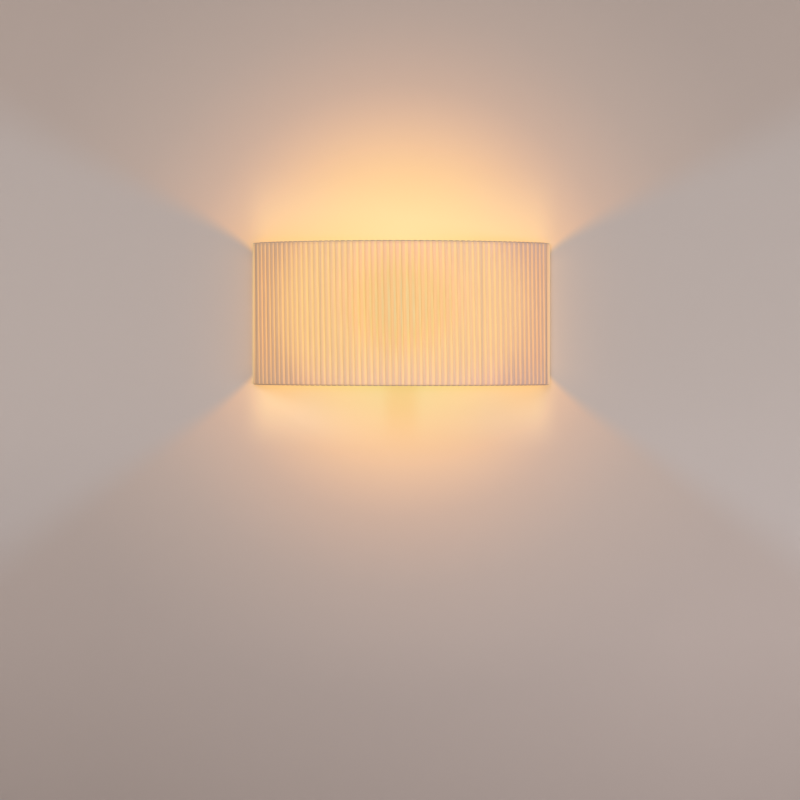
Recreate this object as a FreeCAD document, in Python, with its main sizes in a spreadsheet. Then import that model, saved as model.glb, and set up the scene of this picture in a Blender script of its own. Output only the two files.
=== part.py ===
import FreeCAD, Part
import math
import os
import Sketcher

# Wall light with a curved shade of ribbon wound on a wire frame, millimetres.
# The wall is the plane y = 0 and the lamp stands out of it towards -Y, with +Z up and +X to the right.
# The origin is the middle of the mounting plate's back face, level with the middle of the shade.

SIZES = (
    # The shade and its wire frame
    ("shade_width", 370, "across the ends of the ribbon"),
    ("shade_height", 177, "over the folds of the ribbon"),
    ("shade_bow", 96, "how far the middle stands out in front of the ends"),
    ("shade_wall_gap", 4, "from the wall to the ends of the ribbon"),
    ("wire_diameter", 3, "round wire of the shade frame"),
    ("ribbon_ply", 0.4, "thickness of one layer of ribbon"),
    ("ribbon_turns", 57, "turns of ribbon along the frame wires"),
    ("ribbon_lap", 4, "width that each turn laps over the one before"),
    ("ribbon_margin", 7.5, "ribbon beyond each end upright"),
    ("ribbon_gap", 0.7, "space between the wires and the ribbon"),
    ("ribbon_lean", 0.25, "lean of a turn to each side, as a part of its pitch"),
    ("lap_share", 0.8, "most of a narrow turn that a lap covers"),
    ("first_turn_share", 0.35, "narrowest turn at an end, as a part of the pitch"),
    ("upright_spread", 0.5, "where a side upright stands, as a part of the half angle"),
    # The bar that hangs the shade, and its hooks
    ("rail_height", 12, "flat bar behind the shade"),
    ("rail_thickness", 2, "flat bar behind the shade"),
    ("rail_level", 42, "middle of the bar above the origin"),
    ("rail_side_room", 6, "between the canopy's side and the bar's bend"),
    ("rail_bend_run", 9, "length of the bar's step beside the canopy"),
    ("rail_overhang", 2, "bar beyond the middle of an end upright"),
    ("bend_radius", 1, "inside of every bend in sheet and bar"),
    ("hook_sheet", 1.5, "steel of the hooks"),
    ("hook_width", 14, "width of a hook"),
    ("hook_play", 0.3, "space each side of the bar in a hook"),
    ("hook_tongue", 8, "height of the tongue in front of the bar"),
    ("hook_above", 10, "hook plate above the seat of the bar"),
    ("hook_below", 12.5, "hook plate below its web"),
    ("hook_offset", 36, "from the middle of the lamp to a hook"),
    # The mounting plate and the canopy over it
    ("plate_width", 96, "mounting plate"),
    ("plate_height", 80, "mounting plate"),
    ("plate_sheet", 2, "steel of the mounting plate"),
    ("fixing_spacing", 60, "between the wall screws"),
    ("fixing_slot_length", 10, "end to end"),
    ("fixing_slot_width", 5, "for a 4.5 mm wall screw"),
    ("entry_drop", 16, "middle of the cable entry below the origin"),
    ("entry_bore", 9, "bore of the cable grommet"),
    ("grommet_neck", 14, "grommet in the mounting plate"),
    ("grommet_flange", 19, "grommet in front of the mounting plate"),
    ("grommet_height", 3, "grommet in front of the mounting plate"),
    ("grommet_bevel", 1, "edge of the grommet's flange"),
    ("canopy_width", 110, "outside"),
    ("canopy_height", 110, "outside"),
    ("canopy_depth", 20, "outside"),
    ("canopy_sheet", 1.2, "steel of the canopy"),
    ("canopy_corner", 9, "outside corner radius"),
    ("canopy_rim", 2.5, "radius round the front edge"),
    ("stud_spacing", 84, "between the studs that hold the canopy"),
    ("stud_diameter", 4, "canopy stud"),
    ("stud_play", 0.4, "hole in the canopy over its stud"),
    ("washer_play", 0.3, "hole in a washer over its stud"),
    ("washer_diameter", 9, "under a cap nut"),
    ("washer_thickness", 0.8, "under a cap nut"),
    ("nut_across", 7, "across the flats of a cap nut"),
    ("nut_height", 3.2, "hexagon of a cap nut"),
    ("nut_wall", 1.2, "dome of a cap nut"),
    ("stud_engagement", 3, "stud inside its cap nut"),
    # The terminal block and the earth terminal on the mounting plate
    ("pole_spacing", 10, "between the poles of the block"),
    ("block_width", 31, "terminal block"),
    ("block_height", 16, "terminal block"),
    ("block_depth", 14, "terminal block"),
    ("block_level", 24, "middle of the block above the origin"),
    ("insert_diameter", 5.2, "brass insert of a pole"),
    ("insert_bore", 3.4, "wire hole of a pole"),
    ("insert_length", 13, "brass insert of a pole"),
    ("clamp_screw_diameter", 2.4, "wire clamping screw"),
    ("clamp_screw_spacing", 7, "between the two screws of a pole"),
    ("clamp_screw_sunk", 2, "screw head below the block's face"),
    ("block_screw_diameter", 2.6, "screw that holds the block"),
    ("block_screw_head", 3.6, "screw that holds the block"),
    ("block_floor", 4, "block under the heads of its screws"),
    ("earth_side", 28, "earth screw to the right of the middle"),
    ("earth_drop", 22, "earth screw below the origin"),
    ("earth_screw_diameter", 4, "earth screw"),
    ("earth_head_diameter", 7.5, "earth screw"),
    ("earth_head_height", 2.6, "earth screw"),
    ("earth_ring_diameter", 9, "ring terminal"),
    ("earth_ring_sheet", 0.8, "ring terminal"),
    ("barrel_length", 6, "barrel of the ring terminal"),
    ("barrel_wall", 0.5, "barrel of the ring terminal"),
    ("barrel_root", 0.5, "barrel of the ring terminal inside the ring's edge"),
    ("barrel_end", 1, "closed end of the ring terminal's barrel"),
    # The lampholder, its bracket and the bulb
    ("bulb_offset", 50, "from the wall to the bulb's axis"),
    ("bulb_level", 8, "middle of the bulb's globe above the origin"),
    ("bulb_diameter", 45, "globe"),
    ("bulb_length", 75, "from the contact to the top"),
    ("glass_wall", 0.8, "globe"),
    ("cap_crest", 26.1, "thread of the bulb's cap"),
    ("thread_depth", 0.9, "of the cap and of the holder's sleeve"),
    ("thread_pitch", 3.63, "of the cap and of the holder's sleeve"),
    ("cap_threads", 5, "turns of thread on the cap"),
    ("crest_flat", 0.1, "width of a thread's crest, as a part of the pitch"),
    ("sheet_of_cap", 0.4, "metal of the cap and of the sleeve"),
    ("thread_play", 0.25, "between the crests of the cap and of the sleeve"),
    ("sleeve_threads", 6, "turns of thread in the sleeve"),
    ("insulator_height", 3.5, "glass under the cap"),
    ("contact_diameter", 9, "solder contact under the cap"),
    ("contact_height", 1, "solder contact under the cap"),
    ("contact_play", 0.2, "between the solder contact and the spring"),
    ("spring_rise", 1.6, "spring contact above the core"),
    ("spring_sheet", 0.4, "spring contact"),
    ("spring_width", 5, "spring contact"),
    ("spring_reach", 8, "spring contact from the axis"),
    ("core_diameter", 33, "ceramic core"),
    ("core_height", 6.5, "ceramic core"),
    ("holder_wall", 2, "base and skirt of the lampholder"),
    ("base_diameter", 38, "lampholder base"),
    ("skirt_diameter", 40, "lampholder skirt"),
    ("skirt_mouth", 30, "hole in the skirt's top"),
    ("skirt_above_sleeve", 2, "skirt above the sleeve"),
    ("skirt_bevel", 1.5, "top edge of the skirt"),
    ("base_room", 11, "space under the core for the leads"),
    ("base_floor", 3, "bottom of the lampholder base"),
    ("base_bevel", 2, "bottom edge of the lampholder base"),
    ("nipple_diameter", 10, "threaded tube under the lampholder"),
    ("nipple_bore", 8, "threaded tube under the lampholder"),
    ("nipple_above", 1.5, "tube above the base's floor"),
    ("nipple_below", 1.5, "tube below its nut"),
    ("nipple_nut_across", 14, "across the flats"),
    ("nipple_nut_height", 4, "nut under the bracket"),
    ("nipple_washer_diameter", 17, "washer under the bracket"),
    ("nipple_washer_thickness", 1, "washer under the bracket"),
    ("bracket_sheet", 1.5, "steel of the lampholder bracket"),
    ("bracket_width", 26, "lampholder bracket"),
    ("bracket_top", 28, "top of the bracket's leg below the origin"),
    ("bracket_nose", 13, "shelf in front of the bulb's axis"),
    ("rivet_diameter", 3.2, "rivets of the bracket and hooks"),
    ("rivet_head", 6, "rivets of the bracket and hooks"),
    ("rivet_head_height", 1.1, "rivets of the bracket and hooks"),
    ("rivet_spacing", 14, "between the bracket's rivets"),
    ("rivet_edge", 6, "bracket's rivets below the leg's top"),
    ("post_diameter", 4.4, "wire post under the core"),
    ("post_height", 4, "wire post under the core"),
    ("post_spacing", 9, "between the wire posts"),
    ("post_play", 0.2, "bore of a wire post over its lead"),
    ("post_end", 1, "closed top of a wire post"),
    ("stem_play", 0.2, "between the cap's neck and the glass stem"),
    ("stem_diameter", 16, "flare of the glass stem in the bulb"),
    ("stem_tip", 4, "top of the glass stem in the bulb"),
    ("filament_loop", 18, "across the filament loop"),
    ("filament_diameter", 1.2, "wire of the filament loop"),
    # The leads inside
    ("lead_diameter", 2.2, "insulated lead"),
    ("lead_spacing", 3.2, "between the two leads"),
    ("lead_run_depth", 10, "leads behind the canopy's front, from the wall"),
    ("lead_droop", 26, "leads below the canopy"),
    ("lead_in_block", 3, "lead up inside the block"),
    ("lead_below_block", 14, "straight lead below the block"),
    ("lead_gather", 22, "above the canopy's bottom, where the two leads come together"),
    ("lead_spread", 4.5, "below a wire post, where its lead turns aside"),
    ("lead_below_post", 1.5, "straight lead below a wire post"),
    ("lead_in_post", 2.5, "lead up inside a wire post"),
    ("lead_above_barrel", 8, "straight lead above the ring terminal's barrel"),
    ("lead_in_barrel", 4, "lead down inside the ring terminal's barrel"),
    ("lead_bend_share", 0.45, "part of a lead's shorter run that a bend takes"),
    ("bush_bore", 6.4, "bush in the canopy's bottom"),
    ("bush_neck", 10, "bush in the canopy's bottom"),
    ("bush_flange", 13, "bush in the canopy's bottom"),
    ("bush_lip", 1.2, "bush flanges each side of the sheet"),
)

# Sizes that follow from those above
WORKED = (
    ("arc_radius", "(Sizes.shade_width^2/4 + Sizes.shade_bow^2) / (2*Sizes.shade_bow)"),
    ("arc_half_angle", "asin(Sizes.shade_width/2/arc_radius)"),
    ("arc_centre", "arc_radius - Sizes.shade_bow - Sizes.shade_wall_gap"),
    ("ribbon_stack", "2*Sizes.ribbon_ply"),
    ("ribbon_stand", "Sizes.wire_diameter/2 + Sizes.ribbon_gap"),
    ("wire_arc", "arc_radius - ribbon_stack - ribbon_stand"),
    ("wire_level", "Sizes.shade_height/2 - ribbon_stack - ribbon_stand"),
    ("end_angle", "arc_half_angle - Sizes.ribbon_margin/arc_radius*1 rad"),
    ("side_angle", "arc_half_angle*Sizes.upright_spread"),
    ("end_x", "wire_arc*sin(end_angle)"),
    ("end_y", "arc_centre - wire_arc*cos(end_angle)"),
    ("side_x", "wire_arc*sin(side_angle)"),
    ("side_y", "arc_centre - wire_arc*cos(side_angle)"),
    ("hook_front", "-Sizes.canopy_depth - Sizes.hook_sheet"),
    ("rail_back", "hook_front - Sizes.hook_play"),
    ("rail_front", "rail_back - Sizes.rail_thickness"),
    ("tongue_back", "rail_front - Sizes.hook_play"),
    ("rail_seat", "Sizes.rail_level - Sizes.rail_height/2"),
    ("rail_end_front", "end_y + Sizes.wire_diameter/2"),
    ("rail_bend_in", "Sizes.canopy_width/2 + Sizes.rail_side_room"),
    ("rail_bend_out", "rail_bend_in + Sizes.rail_bend_run"),
    ("rail_bend_angle", "atan((rail_end_front - rail_front)/Sizes.rail_bend_run)"),
    ("rail_bend_shift", "Sizes.rail_thickness*tan(rail_bend_angle/2)"),
    ("bulb_top", "Sizes.bulb_level + Sizes.bulb_diameter/2"),
    ("contact_level", "bulb_top - Sizes.bulb_length"),
    ("insulator_level", "contact_level + Sizes.contact_height"),
    ("cap_level", "insulator_level + Sizes.insulator_height"),
    ("cap_top", "cap_level + Sizes.thread_pitch*(Sizes.cap_threads + 1)"),
    ("cap_radius", "Sizes.cap_crest/2"),
    ("neck_radius", "cap_radius - Sizes.thread_depth - Sizes.sheet_of_cap"),
    ("neck_drop", "Sizes.bulb_level - cap_top"),
    ("neck_reach", "sqrt(neck_radius^2 + neck_drop^2)"),
    ("neck_angle", "atan(neck_drop/neck_radius) - acos(Sizes.bulb_diameter/2/neck_reach)"),
    ("shoulder_radius", "Sizes.bulb_diameter/2*cos(neck_angle)"),
    ("shoulder_drop", "Sizes.bulb_diameter/2*sin(neck_angle)"),
    ("sleeve_crest", "cap_radius + Sizes.thread_play"),
    ("core_top", "contact_level - Sizes.contact_play - Sizes.spring_rise"),
    ("core_bottom", "core_top - Sizes.core_height"),
    ("sleeve_top", "core_top + Sizes.thread_pitch*(Sizes.sleeve_threads + 1)"),
    ("skirt_top", "sleeve_top + Sizes.skirt_above_sleeve"),
    ("base_floor_top", "core_bottom - Sizes.base_room"),
    ("base_bottom", "base_floor_top - Sizes.base_floor"),
    ("shelf_bottom", "base_bottom - Sizes.bracket_sheet"),
    ("nipple_nut_top", "shelf_bottom - Sizes.nipple_washer_thickness"),
    ("nipple_bottom", "nipple_nut_top - Sizes.nipple_nut_height - Sizes.nipple_below"),
    ("bracket_rivet_level", "-Sizes.bracket_top - Sizes.rivet_edge"),
    ("hook_bottom", "rail_seat - Sizes.hook_sheet - Sizes.hook_below"),
    ("hook_rivet_level", "hook_bottom + Sizes.hook_below/2"),
    ("block_back", "-Sizes.plate_sheet"),
    ("pole_depth", "block_back - Sizes.block_depth/2"),
    ("earth_ring_front", "-Sizes.plate_sheet - Sizes.earth_ring_sheet"),
    ("canopy_bottom", "-Sizes.canopy_height/2"),
)

doc = FreeCAD.newDocument("wall_light")
parts = []


def fill_sheet(name, rows):
    """Write the aliased cells of one spreadsheet."""
    sheet = doc.addObject("Spreadsheet::Sheet", name)
    for number, (alias, text, note) in enumerate(rows, 1):
        sheet.set("A%d" % number, note)
        sheet.set("B%d" % number, text)
        sheet.setAlias("B%d" % number, alias)
    doc.recompute()
    return sheet


sizes = fill_sheet("Sizes", [(alias, str(value), note) for alias, value, note in SIZES])
worked = fill_sheet("Worked", [(alias, "=" + formula, "follows") for alias, formula in WORKED])


def amount(expression):
    """The number that an expression gives, in millimetres or degrees."""
    value = sizes.evalExpression(str(expression))
    return float(getattr(value, "Value", value))


def keep(item, label):
    """List a finished piece under the name of its file."""
    item.Label = label
    parts.append(item)
    return item


def bind(item, **bound):
    """Tie properties of an object to the sheets; x, y and z are its place."""
    places = {"x": "Placement.Base.x", "y": "Placement.Base.y", "z": "Placement.Base.z"}
    for name, expression in bound.items():
        item.setExpression(places.get(name, name), str(expression))
    return item


def cylinder(name, diameter, height, x=0, y=0, z=0, along="Z"):
    """A round bar that starts at x, y, z and runs along +Z, or along -Y away from the wall."""
    item = doc.addObject("Part::Cylinder", name)
    if along == "-Y":
        item.Placement.Rotation = FreeCAD.Rotation(FreeCAD.Vector(1, 0, 0), 90)
    return bind(item, Radius="(%s)/2" % diameter, Height=height, x=x, y=y, z=z)


def box(name, width, depth, height, x, y, z):
    """A block centred on x, from y towards the wall, and up from z."""
    item = doc.addObject("Part::Box", name)
    return bind(item, Length=width, Width=depth, Height=height, x="%s - (%s)/2" % (x, width), y=y, z=z)


def hexagon(name, across, height, x, y, z, along="Z"):
    """A six-sided prism, sized across its flats."""
    item = doc.addObject("Part::Prism", name)
    item.Polygon = 6
    if along == "-Y":
        item.Placement.Rotation = FreeCAD.Rotation(FreeCAD.Vector(1, 0, 0), 90)
    return bind(item, Circumradius="(%s)/sqrt(3)" % across, Height=height, x=x, y=y, z=z)


def fuse(name, items):
    joined = doc.addObject("Part::MultiFuse", name)
    joined.Shapes = items
    return joined


def group(name, items):
    """Identical fasteners kept as separate solids of one piece."""
    bundle = doc.addObject("Part::Compound", name)
    bundle.Links = items
    return bundle


def cut(name, base, tool):
    result = doc.addObject("Part::Cut", name)
    result.Base = base
    result.Tool = tool
    return result


def origin_plane(body, role):
    return next(item for item in body.Origin.OriginFeatures if item.Role == role)


def blank_sketch(body, role, name):
    sketch = body.newObject("Sketcher::SketchObject", name)
    sketch.AttachmentSupport = [(origin_plane(body, role), "")]
    sketch.MapMode = "FlatFace"
    return sketch


def hold_point(sketch, geometry, vertex, corner):
    """Fix a point of a sketch at a pair of expressions from the sketch's origin."""
    for kind, expression in zip(("DistanceX", "DistanceY"), corner):
        rule = Sketcher.Constraint(kind, -1, 1, geometry, vertex, amount(expression))
        index = sketch.addConstraint(rule)
        sketch.setExpression("Constraints[%d]" % index, str(expression))


def outline(body, role, corners, name="Outline"):
    """A closed polygon whose corners follow the sheets."""
    sketch = blank_sketch(body, role, name)
    points = [FreeCAD.Vector(amount(across), amount(up), 0) for across, up in corners]
    count = len(points)
    for number in range(count):
        sketch.addGeometry(Part.LineSegment(points[number], points[(number + 1) % count]), False)
    for number in range(count):
        sketch.addConstraint(Sketcher.Constraint("Coincident", number, 2, (number + 1) % count, 1))
    for number, corner in enumerate(corners):
        hold_point(sketch, number, 1, corner)
    return sketch


def circles(body, role, centres, diameter, name="Holes"):
    """Circles of one diameter, each centred at a pair of expressions."""
    sketch = blank_sketch(body, role, name)
    for number, centre in enumerate(centres):
        middle = FreeCAD.Vector(amount(centre[0]), amount(centre[1]), 0)
        ring = Part.Circle(middle, FreeCAD.Vector(0, 0, 1), amount(diameter) / 2)
        sketch.addGeometry(ring, False)
        hold_point(sketch, number, 3, centre)
        index = sketch.addConstraint(Sketcher.Constraint("Diameter", number, amount(diameter)))
        sketch.setExpression("Constraints[%d]" % index, str(diameter))
    return sketch


def rectangle(width, low, high, middle="0"):
    """Corners of an upright rectangle centred across the sketch."""
    left = "%s - (%s)/2" % (middle, width)
    right = "%s + (%s)/2" % (middle, width)
    return [(left, low), (right, low), (right, high), (left, high)]


def pad(body, sketch, length, both_ways=False, name="Pad"):
    feature = body.newObject("PartDesign::Pad", name)
    feature.Profile = sketch
    feature.Midplane = both_ways
    return bind(feature, Length=length)


def pocket_through(body, sketch, name="Pocket"):
    """Cut right through, both ways from the sketch."""
    feature = body.newObject("PartDesign::Pocket", name)
    feature.Profile = sketch
    feature.Type = "ThroughAll"
    feature.Midplane = True
    return feature


def turned(body, corners, name="Turned"):
    """A closed outline of (radius, height) corners spun round the vertical axis."""
    sketch = outline(body, "XZ_Plane", corners)
    feature = body.newObject("PartDesign::Revolution", name)
    feature.Profile = sketch
    feature.ReferenceAxis = (sketch, ["V_Axis"])
    feature.Angle = 360
    return feature


def new_body(label):
    return keep(doc.addObject("PartDesign::Body", label), label)


def edges_at(feature, spots, first, second):
    """Names of the straight edges whose middle lies at one of the spots in two directions."""
    doc.recompute()
    wanted = [(amount(one), amount(other)) for one, other in spots]
    found = []
    for number, edge in enumerate(feature.Shape.Edges, 1):
        middle = edge.CenterOfMass
        place = (getattr(middle, first), getattr(middle, second))
        if any(math.dist(place, spot) < 0.01 for spot in wanted):
            found.append("Edge%d" % number)
    return found


def fillet(body, base, names, radius, name="Fillet"):
    feature = body.newObject("PartDesign::Fillet", name)
    feature.Base = (base, names)
    return bind(feature, Radius=radius)


def on_bulb_axis(body):
    return bind(body, y="-Sizes.bulb_offset")


# ---- Shade frame: two curved wires, five uprights and the flat bar that hangs it ----

def frame_wire(label, level):
    """A curved wire, open towards the wall."""
    wire = doc.addObject("Part::Torus", label)
    wire.Placement.Rotation = FreeCAD.Rotation(FreeCAD.Vector(0, 0, 1), 200)
    bind(wire, Radius1="Worked.wire_arc", Radius2="Sizes.wire_diameter/2", z=level)
    bind(wire, Angle3="2*Worked.arc_half_angle", y="Worked.arc_centre")
    wire.setExpression("Placement.Rotation.Angle", "270deg - Worked.arc_half_angle")
    keep(wire, label)


def upright(label, x, y):
    """A wire that stands on the bottom wire and carries the top one."""
    foot = "-(Worked.wire_level - Sizes.wire_diameter/2)"
    length = "2*Worked.wire_level - Sizes.wire_diameter"
    keep(cylinder(label, "Sizes.wire_diameter", length, x=x, y=y, z=foot), label)


def shade_frame():
    frame_wire("top_wire", "Worked.wire_level")
    frame_wire("bottom_wire", "-Worked.wire_level")
    upright("end_upright_left", "-Worked.end_x", "Worked.end_y")
    upright("end_upright_right", "Worked.end_x", "Worked.end_y")
    upright("front_upright_left", "-Worked.side_x", "Worked.side_y")
    upright("front_upright_right", "Worked.side_x", "Worked.side_y")
    upright("front_upright_middle", "0", "Worked.arc_centre - Worked.wire_arc")


def shade_rail():
    """The flat bar between the end uprights, stepped forward to pass in front of the canopy."""
    body = new_body("shade_rail")
    end = "(Worked.end_x + Sizes.rail_overhang)"
    front = [(end, "Worked.rail_end_front"), ("Worked.rail_bend_out", "Worked.rail_end_front"),
             ("Worked.rail_bend_in", "Worked.rail_front")]
    back = [("(Worked.rail_bend_in - Worked.rail_bend_shift)", "Worked.rail_back"),
            ("(Worked.rail_bend_out - Worked.rail_bend_shift)",
             "Worked.rail_end_front + Sizes.rail_thickness"),
            (end, "Worked.rail_end_front + Sizes.rail_thickness")]
    corners = [("-" + x, y) for x, y in front] + front[::-1]
    corners += back[::-1] + [("-" + x, y) for x, y in back]
    bar = pad(body, outline(body, "XY_Plane", corners), "Sizes.rail_height", both_ways=True)
    inner = [(sign + x, y) for sign in ("", "-") for x, y in (front[1], back[0])]
    outer = [(sign + x, y) for sign in ("", "-") for x, y in (front[2], back[1])]
    tight = fillet(body, bar, edges_at(bar, inner, "x", "y"), "Sizes.bend_radius", "InnerBends")
    fillet(body, tight, edges_at(tight, outer, "x", "y"), "Sizes.bend_radius + Sizes.rail_thickness",
           "OuterBends")
    bind(body, z="Sizes.rail_level")


# ---- Ribbon: one long ribbon wound over and over the two curved wires ----

def polar(radius, angle, level):
    """A point round the shade's centre; angle 0 is straight out from the wall."""
    centre = amount("Worked.arc_centre")
    return FreeCAD.Vector(radius * math.sin(angle), centre - radius * math.cos(angle), level)


def ribbon_section(plain, sign, edges, lap, level):
    """Outline across one layer: smooth towards the wires, stepped by the laps on its other side."""
    ply = amount("Sizes.ribbon_ply")
    single = plain + sign * ply
    lapped = plain + sign * amount("Worked.ribbon_stack")
    most = amount("Sizes.lap_share")
    points = []
    for start, stop in zip(edges[:-1], edges[1:]):
        share = min(lap, most * (stop - start))
        ramp = min(share / 4, (stop - start - share) / 2)
        points.append(polar(lapped, start, level))
        points.append(polar(lapped, start + share, level))
        points.append(polar(single, start + share + ramp, level))
        points.append(polar(single, stop, level))
    steps = [Part.LineSegment(a, b).toShape() for a, b in zip(points[:-1], points[1:])]
    first, last = polar(plain, edges[0], level), polar(plain, edges[-1], level)
    middle = polar(plain, (edges[0] + edges[-1]) / 2, level)
    steps.append(Part.LineSegment(points[-1], last).toShape())
    steps.append(Part.Arc(last, middle, first).toShape())
    steps.append(Part.LineSegment(first, points[0]).toShape())
    return Part.Wire(steps)


def turn_edges(half, offset, lean):
    """Angles where the turns start along one layer; offset and lean are parts of a pitch."""
    full = math.radians(amount("Worked.arc_half_angle"))
    turns = int(amount("Sizes.ribbon_turns"))
    pitch = 2 * full / turns
    reach = half - amount("Sizes.first_turn_share") * pitch
    middles = [-full + pitch * (number + offset) for number in range(turns + 1)]
    inside = [middle for middle in middles if abs(middle) < reach]
    return [-half] + [middle + lean * pitch for middle in inside] + [half]


def ribbon_layer(plain, sign, half, offset, lean):
    """Every turn of the ribbon on one side of the wires, leaning to and fro across the height."""
    lap = amount("Sizes.ribbon_lap") / amount("Worked.arc_radius")
    level = amount("Worked.wire_level")
    sections = [ribbon_section(plain, sign, turn_edges(half, offset, -end * lean), lap, end * level)
                for end in (-1, 1)]
    return Part.makeLoft(sections, True, True)


def ribbon_fold(end, half):
    """The ribbon round one curved wire, from its front layer to its back layer."""
    level = end * amount("Worked.wire_level")
    inner = amount("Worked.ribbon_stand")
    outer = inner + amount("Worked.ribbon_stack")
    wire_arc = amount("Worked.wire_arc")
    start = -half

    def spot(reach, rise):
        return polar(wire_arc + reach, start, level + rise)

    edges = [Part.LineSegment(spot(inner, 0), spot(outer, 0)).toShape(),
             Part.Arc(spot(outer, 0), spot(0, end * outer), spot(-outer, 0)).toShape(),
             Part.LineSegment(spot(-outer, 0), spot(-inner, 0)).toShape(),
             Part.Arc(spot(-inner, 0), spot(0, end * inner), spot(inner, 0)).toShape()]
    face = Part.Face(Part.Wire(edges))
    centre = FreeCAD.Vector(0, amount("Worked.arc_centre"), 0)
    return face.revolve(centre, FreeCAD.Vector(0, 0, 1), math.degrees(2 * half))


def ribbon_cover():
    """Front layer, back layer and the folds over both wires, as one solid."""
    half = math.radians(amount("Worked.arc_half_angle"))
    wire_arc = amount("Worked.wire_arc")
    stand = amount("Worked.ribbon_stand")
    rod = amount("Sizes.wire_diameter")
    back_half = math.radians(amount("Worked.end_angle")) - rod / wire_arc
    lean = amount("Sizes.ribbon_lean")
    front = ribbon_layer(wire_arc + stand, 1, half, 0, lean)
    back = ribbon_layer(wire_arc - stand, -1, back_half, 0.5, -lean)
    cover = front.fuse([back, ribbon_fold(1, half), ribbon_fold(-1, half)])
    item = doc.addObject("Part::Feature", "ribbon_cover")
    item.Shape = cover.Solids[0]
    item.Placement = FreeCAD.Placement()
    print("ribbon solids", len(cover.Solids), "faces", len(cover.Faces), "valid", cover.isValid())
    keep(item, "ribbon_cover")


# ---- Hooks on the canopy ----

def shade_hook(label, x):
    """Sheet steel hook: a plate on the canopy, a web under the bar and a tongue in front of it."""
    body = new_body(label)
    back = "-Sizes.canopy_depth"
    tongue_front = "(Worked.tongue_back - Sizes.hook_sheet)"
    web = "(Worked.rail_seat - Sizes.hook_sheet)"
    tip = "(Worked.rail_seat + Sizes.hook_tongue)"
    top = "(Worked.rail_seat + Sizes.hook_above)"
    corners = [(back, "Worked.hook_bottom"), ("Worked.hook_front", "Worked.hook_bottom"),
               ("Worked.hook_front", web), (tongue_front, web), (tongue_front, tip),
               ("Worked.tongue_back", tip), ("Worked.tongue_back", "Worked.rail_seat"),
               ("Worked.hook_front", "Worked.rail_seat"), ("Worked.hook_front", top), (back, top)]
    plate = pad(body, outline(body, "YZ_Plane", corners), "Sizes.hook_width", both_ways=True)
    bend = edges_at(plate, [(tongue_front, web)], "y", "z")
    fillet(body, plate, bend, "Sizes.bend_radius + Sizes.hook_sheet/2", "OuterBend")
    holes = circles(body, "XZ_Plane", [("0", "Worked.hook_rivet_level")], "Sizes.rivet_diameter")
    pocket_through(body, holes)
    bind(body, x=x)


def rivet(name, x, z, back, grip):
    """A rivet from behind the canopy's front: tail, shank and head."""
    head = "Sizes.rivet_head_height"
    start = "%s + %s" % (back, head)
    tail = cylinder(name + "_tail", "Sizes.rivet_head", head, x=x, y=start, z=z, along="-Y")
    shank = cylinder(name + "_shank", "Sizes.rivet_diameter", grip, x=x, y=back, z=z, along="-Y")
    top = cylinder(name + "_head", "Sizes.rivet_head", head, x=x, y="%s - (%s)" % (back, grip), z=z,
                   along="-Y")
    return fuse(name, [tail, shank, top])


def rivets(label, offset, level, sheet):
    """Two rivets through the canopy's front and the sheet that lies on it."""
    back = "-Sizes.canopy_depth + Sizes.canopy_sheet"
    grip = "Sizes.canopy_sheet + %s" % sheet
    pair = [rivet("%s_%s" % (label, side), sign + offset, level, back, grip)
            for side, sign in (("left", "-"), ("right", ""))]
    keep(group(label, pair), label)


# ---- Mounting plate, canopy and what is fixed to them ----

def mounting_plate():
    body = new_body("mounting_plate")
    half = "Sizes.plate_height/2"
    sheet = rectangle("Sizes.plate_width", "-" + half, half)
    blank = pad(body, outline(body, "XZ_Plane", sheet), "Sizes.plate_sheet")
    side = "Sizes.plate_width/2"
    corners = [(sign + side, up + half) for sign in ("", "-") for up in ("", "-")]
    fillet(body, blank, edges_at(blank, corners, "x", "z"), "Sizes.canopy_corner/2", "Corners")
    reach = "(Sizes.fixing_slot_length - Sizes.fixing_slot_width)"
    ends = [("%sSizes.fixing_spacing/2 %s %s/2" % (sign, way, reach), "0")
            for sign in ("", "-") for way in ("+", "-")]
    pocket_through(body, circles(body, "XZ_Plane", ends, "Sizes.fixing_slot_width"), "SlotEnds")
    for side_name, sign in (("Left", "-"), ("Right", "")):
        slot = rectangle(reach, "-Sizes.fixing_slot_width/2", "Sizes.fixing_slot_width/2",
                         sign + "Sizes.fixing_spacing/2")
        pocket_through(body, outline(body, "XZ_Plane", slot, side_name + "Slot"), side_name + "Cut")
    entry = circles(body, "XZ_Plane", [("0", "-Sizes.entry_drop")], "Sizes.grommet_neck", "Entry")
    pocket_through(body, entry, "EntryCut")
    studs = [(sign + "Sizes.stud_spacing/2", "0") for sign in ("", "-")]
    pocket_through(body, circles(body, "XZ_Plane", studs, "Sizes.stud_diameter", "Studs"), "StudCut")
    screws = [(sign + "Sizes.pole_spacing/2", "Sizes.block_level") for sign in ("", "-")]
    pocket_through(body, circles(body, "XZ_Plane", screws, "Sizes.block_screw_diameter", "Taps"), "TapCut")
    earth = circles(body, "XZ_Plane", [("Sizes.earth_side", "-Sizes.earth_drop")],
                    "Sizes.earth_screw_diameter", "EarthTap")
    pocket_through(body, earth, "EarthCut")


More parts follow.
